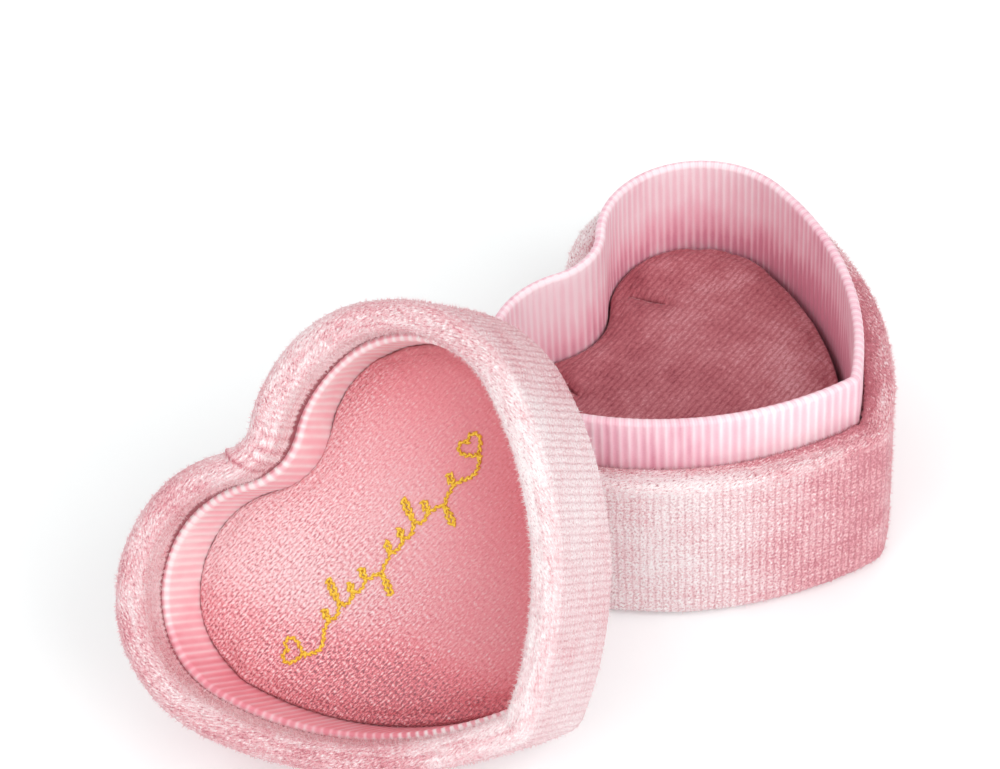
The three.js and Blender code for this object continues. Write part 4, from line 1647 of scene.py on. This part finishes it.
def pad_velvet_shell(name, offset, foot, top, edge_round, rise, hem, slits=()):
    """A pad's velvet over its stuffing: points, faces, cloth map and relief."""
    shell = Shell()
    columns = PAD_COLUMNS
    outline = heart(offset + edge_round, columns, offset)

    def rings(line, start, pile, first):
        """Rings of a section, with the cloth map continued outwards from the face."""
        walked = walk(np.array(line)) + start
        made = [first]
        for (ring_offset, height), distance in list(zip(line, walked))[1:]:
            developed = heart(offset + edge_round - distance, columns, offset)
            flat = heart(ring_offset, columns, offset)
            made.append(shell.level(flat, height, developed[:, ::-1], pile))
        shell.join_all(made)
        return made[-1], walked[-1]

    def skin(depth, grid, pile, width, upwards):
        """The face of one side of the velvet, with a pocket at each slit."""
        height = top - depth
        holes = [slit_outline(slit, width) for slit in slits]
        border, *lips = shell.cap(outline, holes, height, grid, pile, upwards)
        for slit, ring in zip(slits, lips):
            for share in POCKET_STEPS:
                flat = slit_outline(slit, width * (1 - 0.5 * share))
                down = height - share * slit["depth"] + depth * 0.5
                lower = shell.level(flat, down, flat[:, ::-1], 0)
                shell.join(ring, lower)
                ring = lower
            shell.faces.append(ring.tolist())
        return border

    border = skin(0.0, PAD_GRID, 1, SLIT_WIDTH, True)
    outer = bend(offset + edge_round, top - edge_round, edge_round, edge_round, 90, 180, 8)
    last, walked = rings(outer, 0, 1, border)
    side = [(offset, height) for height in np.linspace(top - edge_round, foot, 9)[1:]]
    side = [outer[-1], *side, (offset + hem, foot)]
    last, walked = rings(side, walked, 0.3, last)
    lined = foot + VELVET_THICK
    inner_round = edge_round - VELVET_THICK
    inside_line = [side[-1], (offset + hem, lined), (offset + VELVET_THICK, lined)]
    inside_line += bend(
        offset + edge_round, top - edge_round, inner_round, inner_round, 180, 90, 3)[:-1]
    last, _ = rings(inside_line, walked, 0, last)
    shell.join(last, skin(VELVET_THICK, LINING_GRID, 0, LINING_SLIT_WIDTH, False))

    points, cloth, pile = shell.arrays()
    stuffing = crown(name + "_stuffing", offset, foot, top, edge_round, rise)
    points = points + carried(points, stuffing)
    for slit in slits:
        points[:, 2] += round_slit(points, slit) * (points[:, 2] > top - edge_round)
    return points, facing_out(points, shell.faces), cloth, pile


print("pads take a grid of", PAD_GRID, "mm")

# %% [markdown]
# ## The base's pad and the lid's panel
#
# The pad is firm and nearly flat, in a deep dusty rose, with two slits that grip what is kept in
# it. It is loose in the base, so it lies a little off the middle, and its pile is palest on the
# right, towards the tip.

# %% Pad
PAD_SLITS = [
    {
        "middle": np.array([side * 10.5, 7.2]),
        "length": 5.8,
        "depth": 5.0,
        "lean": side * math.radians(14),
    }
    for side in (-1, 1)
]
PAD_RELIEF = {
    "Rib pitch": PAD_PITCH, "Rib height": 0.03, "Rib wander": 0.4, "Tuft size": 0.4,
    "Tuft height": 0.05, "Swell size": 9.0, "Swell height": 0.45,
}
PAD_RISE = 0.7
PAD_EDGE = 1.1
PAD_HEM = 4.0
PAD_SNUG = 0.22  # the pad's cloth presses this far towards the ribbon
PAD_SITS = np.array([-0.12, 0.15, 0.0])  # the pad lies a little towards the notch

shape = pad_velvet_shell(
    "pad_velvet_cover", PAD - PAD_SNUG, PAD_FOOT, PAD_TOP, PAD_EDGE, PAD_RISE, PAD_HEM, PAD_SLITS)
pad_nap = 0.1 * np.tanh((0.6 * shape[0][:, 0] - 0.8 * shape[0][:, 1] - 14) / 6) + 0.05
pad = make_piece("pad_velvet_cover", shape[0] + PAD_SITS, *shape[1:], nap=pad_nap)
pad = baked(pad, RELIEF, {**PAD_RELIEF, "Finish": pad_velvet})
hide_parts("pad_velvet")
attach(pad, "pad")

# %% [markdown]
# The panel is a thinner cushion in coral, and its crown is what lets the stitching sit proud. Its
# pile is painted paler and livelier towards the upper left, as sheen, and deep in the lower left
# corner, as painted shade beside the ribbon wall. Noise can't be told where to be pale, so a few
# smooth steps across the panel describe it.

# %% Panel
PANEL_RISE = 0.8
PANEL_EDGE = 0.7
PANEL_HEM = 3.5
PANEL_SNUG = 0.6  # the panel's cloth presses this far towards the ribbon


def panel_pile(points):
    """How pale the panel's pile is painted, as sheen and shade, and how lively it is, by place."""
    across, up = points[:, 0], points[:, 1]
    # painted shade in the lower left corner, beside the ribbon wall
    corner = (1 + np.tanh((-0.89 * across - 0.46 * up - 15) / 2.5)) / 2
    lobe = np.exp(-(((across - 12) / 6) ** 2) - ((up - 15) / 5) ** 2)
    nap = 0.03 + 0.08 * np.tanh((up + 11) / 7) - 0.06 * np.tanh((across - 8) / 8)
    nap -= 0.26 * corner + 0.08 * lobe
    nap += 0.03 * (1 - np.tanh((across + 6) / 4)) * (1 + np.tanh((up + 6) / 4))
    nap -= 0.05 * (1 + np.tanh((across - 14) / 4))
    rough = -0.05 - 0.6 * np.tanh((across - 0.35 * up) / 8) + 0.4 * corner + 0.9 * lobe
    return {"nap": nap, "rough": rough}


shape = pad_velvet_shell(
    "lid_panel_cover", PANEL - PANEL_SNUG, PANEL_FOOT, PANEL_TOP, PANEL_EDGE, PANEL_RISE, PANEL_HEM)
panel = make_piece("lid_panel_cover", *shape, lid=True, **panel_pile(shape[0]))
panel = baked(panel, RELIEF, {**PAD_RELIEF, "Finish": panel_velvet})
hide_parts("lid_panel_velvet")
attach(panel, "lid")

# %% [markdown]
# ## The flat ends
#
# A heart of velvet covers the underside, where it is pressed flat, and another covers the lid's
# top over a layer of foam, where it is a little crowned. The Cloth modifier isn't needed here: a
# crown that rises with the distance from the rim is all that shows of so thin a layer of foam.

# %% Underside and top
END_OFFSET = offset_of("base_underside_velvet")
END_GRID = (0.7, 0.26)
END_COLUMNS = 420
END_EDGE = 0.25
UNDERSIDE_LOW, TOP_LOW = 0.16, 0.2
TOP_RISE = 0.9


def end_velvet(name, low, rise, lid):
    """A heart of velvet whose outer face looks down; rise is its crown outwards."""
    shell = Shell()
    rim = heart(END_OFFSET, END_COLUMNS, END_OFFSET)
    face_rim = heart(END_OFFSET + END_EDGE, END_COLUMNS, END_OFFSET)
    rings = shell.cap(face_rim, [], low, END_GRID, 1, False)
    for lift in (END_EDGE / 2, VELVET_THICK - END_EDGE / 2):
        rings.append(shell.level(rim, low + lift, rim[:, ::-1], 0))
    rings += shell.cap(face_rim, [], low + VELVET_THICK, LINING_GRID, 0, True)
    shell.join_all(rings)
    points, cloth, pile = shell.arrays()
    tree = search_tree(rim)
    depth = np.array([tree.find((x, y, 0))[2] for x, y, _ in points])
    points[:, 2] -= rise * (1 - np.exp(-depth / 4))
    return make_piece(name, points, facing_out(points, shell.faces), cloth, pile, lid=lid)


END_RELIEF = {
    "Rib pitch": VELVET_PITCH, "Rib height": 0.08, "Rib wander": 0.5, "Tuft size": 0.42,
    "Tuft height": 0.12, "Swell size": 9.0, "Swell height": 0.0, "Finish": outer_velvet,
}
TOP_RELIEF = {**END_RELIEF, "Rib height": 0.16, "Tuft height": 0.26, "Swell height": 0.4}
underside = baked(end_velvet("base_velvet_underside", UNDERSIDE_LOW, 0.0, False), RELIEF, END_RELIEF)
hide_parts("base_underside_velvet")
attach(underside, "base")
lid_top = baked(end_velvet("lid_velvet_top", TOP_LOW, TOP_RISE, True), RELIEF, TOP_RELIEF)
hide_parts("lid_top_velvet")
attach(lid_top, "lid")

# %% [markdown]
# ## The gold flourish
#
# The stitching on the panel is a running line of loops, some tall and some hanging, with a small
# heart at each end. It could be traced point by point, but a loop is one turn of a wave that also
# swings forwards and back, so the whole line is one formula and a list of heights. The finished
# line is dropped onto the panel's crown.

# %% Paths of the flourish
FLOURISH_REACH = 14.0  # from the middle to the first and the last loop
FLOURISH_DROP = -6.4
FLOURISH_SLANT = 0.35
LOOPS = [1.9, 4.4, 1.8, 2.0, -3.6, 1.9, 1.8, 4.2, 1.9, -3.4, 1.9]
LOOP_STEPS = 24
LOOP_SWING = 0.92
HEART_SIZE = 1.75
ABOVE_PANEL = 40  # the height from which the line is dropped
LEFT_HEART, RIGHT_HEART = (-FLOURISH_REACH - 4.2, -0.4), (FLOURISH_REACH + 4.0, 0.3)
LEFT_TURN, RIGHT_TURN = 0.55, -0.15
LEFT_SAG, RIGHT_SAG = 1.2, 0.9


def loops_line():
    """The running line, one loop for each height in the list."""
    points = []
    for turn in np.linspace(0, len(LOOPS), LOOP_STEPS * len(LOOPS) + 1):
        number = min(int(turn), len(LOOPS) - 1)
        angle = 2 * math.pi * (turn - number)
        rise = LOOPS[number] * (1 - math.cos(angle)) / 2
        along = FLOURISH_REACH * (2 * turn / len(LOOPS) - 1) + LOOP_SWING * math.sin(angle)
        points.append((along + FLOURISH_SLANT * rise, rise))
    return points


def small_heart(x, y, turn):
    """A heart outline that starts and ends at its tip."""
    points = []
    for angle in np.linspace(math.pi, 3 * math.pi, 41):
        across = math.sin(angle) ** 3
        lobes = 13 * math.cos(angle) - 5 * math.cos(2 * angle)
        dip = 2 * math.cos(3 * angle) + math.cos(4 * angle)
        up = (lobes - dip) / 16 + 1.06
        points.append((
            x + HEART_SIZE * (across * math.cos(turn) - up * math.sin(turn)),
            y + HEART_SIZE * (across * math.sin(turn) + up * math.cos(turn)),
        ))
    return points


def hanging(start, end, sag):
    """A line between two places that hangs in the middle."""
    points = []
    for share in np.linspace(0, 1, 12):
        x = start[0] + share * (end[0] - start[0])
        y = start[1] + share * (end[1] - start[1]) - sag * math.sin(math.pi * share)
        points.append((x, y))
    return points


def flourish_paths():
    """Everything that is stitched, as lists of flat points in the lid's frame."""
    line = loops_line()
    tail = hanging(LEFT_HEART, line[0], LEFT_SAG)
    swash = hanging(line[-1], RIGHT_HEART, RIGHT_SAG)
    whole = tail[:-1] + line + swash[1:]
    paths = [whole, small_heart(*LEFT_HEART, LEFT_TURN), small_heart(*RIGHT_HEART, RIGHT_TURN)]
    return [[(x, y + FLOURISH_DROP) for x, y in path] for path in paths]


def on_panel(paths):
    """Line mesh of the paths, laid on the panel in the lid's own frame."""
    rest = panel.data.copy()
    turn_back = Matrix(LID_AXES.tolist()).transposed().to_4x4()
    rest.transform(turn_back @ Matrix.Translation(-Vector(LID_PLACE) * MM))
    shape = bmesh.new()
    shape.from_mesh(rest)
    surface = BVHTree.FromBMesh(shape)
    shape.free()
    bpy.data.meshes.remove(rest)
    points, edges = [], []
    for path in paths:
        first = len(points)
        for x, y in path:
            hit = surface.ray_cast(Vector((x, y, ABOVE_PANEL)) * MM, Vector((0, 0, -1)))[0]
            points.append((x * MM, y * MM, hit.z))
        edges += [(first + i, first + i + 1) for i in range(len(path) - 1)]
    mesh = bpy.data.meshes.new("gold_flourish")
    mesh.from_pydata(points, edges, [])
    return mesh


print("the running line has", len(LOOPS), "loops")

# %% [markdown]
# A plain tube along the line would look like wire. A Geometry Nodes tree sets stitches along it
# instead: short fat strands, turned a little left and right by turns, as a twisted thread lies.

# %% Stitches along a path
def stitch_tree():
    sizes = ["Spacing", "Stitch length", "Stitch thickness", "Sway", "Slant"]
    graph, given = new_tree("Stitches", sizes)
    path = graph.add("GeometryNodeMeshToCurve", {}, {"Mesh": given["Geometry"]})
    sockets = {"Curve": path, "Length": given["Spacing"] * MM}
    stops = graph.add("GeometryNodeResampleCurve", {"mode": "LENGTH"}, sockets)
    index = graph.add("GeometryNodeInputIndex", {}, {})
    swing = (math.pi * (index + 0.5)).sine()
    tangent = graph.add("GeometryNodeInputTangent", {}, {})
    sockets = {0: (0, 0, 1), 1: tangent}
    side = graph.add("ShaderNodeVectorMath", {"operation": "CROSS_PRODUCT"}, sockets)
    chance = graph.add("FunctionNodeRandomValue", {"data_type": "FLOAT"},
                       {"Min": 0.8, "Max": 1.2, "Seed": 5}, "Value")
    heading = added(graph, tangent, scaled(graph, side, swing * given["Slant"] * chance))
    turned = graph.add("FunctionNodeAlignRotationToVector", {"axis": "X"}, {"Vector": heading})
    length, thickness = given["Stitch length"], given["Stitch thickness"]
    shift = scaled(graph, side, swing * given["Sway"] * MM)
    lift = graph.vector(0.0, 0.0, thickness * 0.32 * MM * chance)
    sockets = {"Geometry": stops, "Offset": added(graph, shift, lift)}
    placed = graph.add("GeometryNodeSetPosition", {}, sockets)
    strand = graph.add("GeometryNodeMeshIcoSphere", {}, {"Radius": 0.5 * MM, "Subdivisions": 2})
    size = graph.vector(length * chance, thickness, thickness)
    strands = graph.add("GeometryNodeInstanceOnPoints", {},
                        {"Points": placed, "Instance": strand, "Rotation": turned, "Scale": size})
    return finished_tree(graph, strands, given["Finish"])


STITCHES = {
    "Spacing": 0.4, "Stitch length": 0.95, "Stitch thickness": 0.38, "Sway": 0.1, "Slant": 0.4,
    "Finish": thread_finish,
}
flourish = bpy.data.objects.new("gold_flourish", on_panel(flourish_paths()))
scene.collection.objects.link(flourish)
flourish = baked(flourish, stitch_tree(), STITCHES)
flourish.data.transform(Matrix.Translation(Vector(LID_PLACE) * MM) @ lid_turn.to_4x4())
flourish.data.shade_smooth()
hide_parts("lid_embroidery")
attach(flourish, "lid")

# %% [markdown]
# ## Cloth facts
#
# Each strip and heart of cloth has the size it was cut to; the helpers below work out a strip's
# length and a heart's outline, and keep nothing. A strip is as long as its outline and as wide as
# hem, wall, rim and flap together. A heart fills only part of its box. The velvet is stretched
# over foam or board, and the ribbon is folded over its card.

# %% Sizes of the sheets
def strip_cut(offset, height):
    width = heart_length(offset) * MM
    height * MM


def ribbon_cut(offset, height):
    width = heart_length(offset) * MM
    height * MM


def heart_cut(offset):
    across, up = heart(offset, 400).T


strip_cut(0, BASE_HEIGHT + HEM + WALL_INNER + BASE_FLAP)
strip_cut(0, LID_HEIGHT + HEM + WALL_INNER + LID_FLAP)
base_ribbon_width = BASE_COLLAR_EDGE - BASE_COLLAR_FOOT + BASE_TUCK
lid_ribbon_width = LID_COLLAR_EDGE - LID_COLLAR_FOOT + LID_TUCK
ribbon_cut(BASE_COLLAR, base_ribbon_width)
ribbon_cut(LID_COLLAR, lid_ribbon_width)
heart_cut(END_OFFSET)
heart_cut(END_OFFSET)
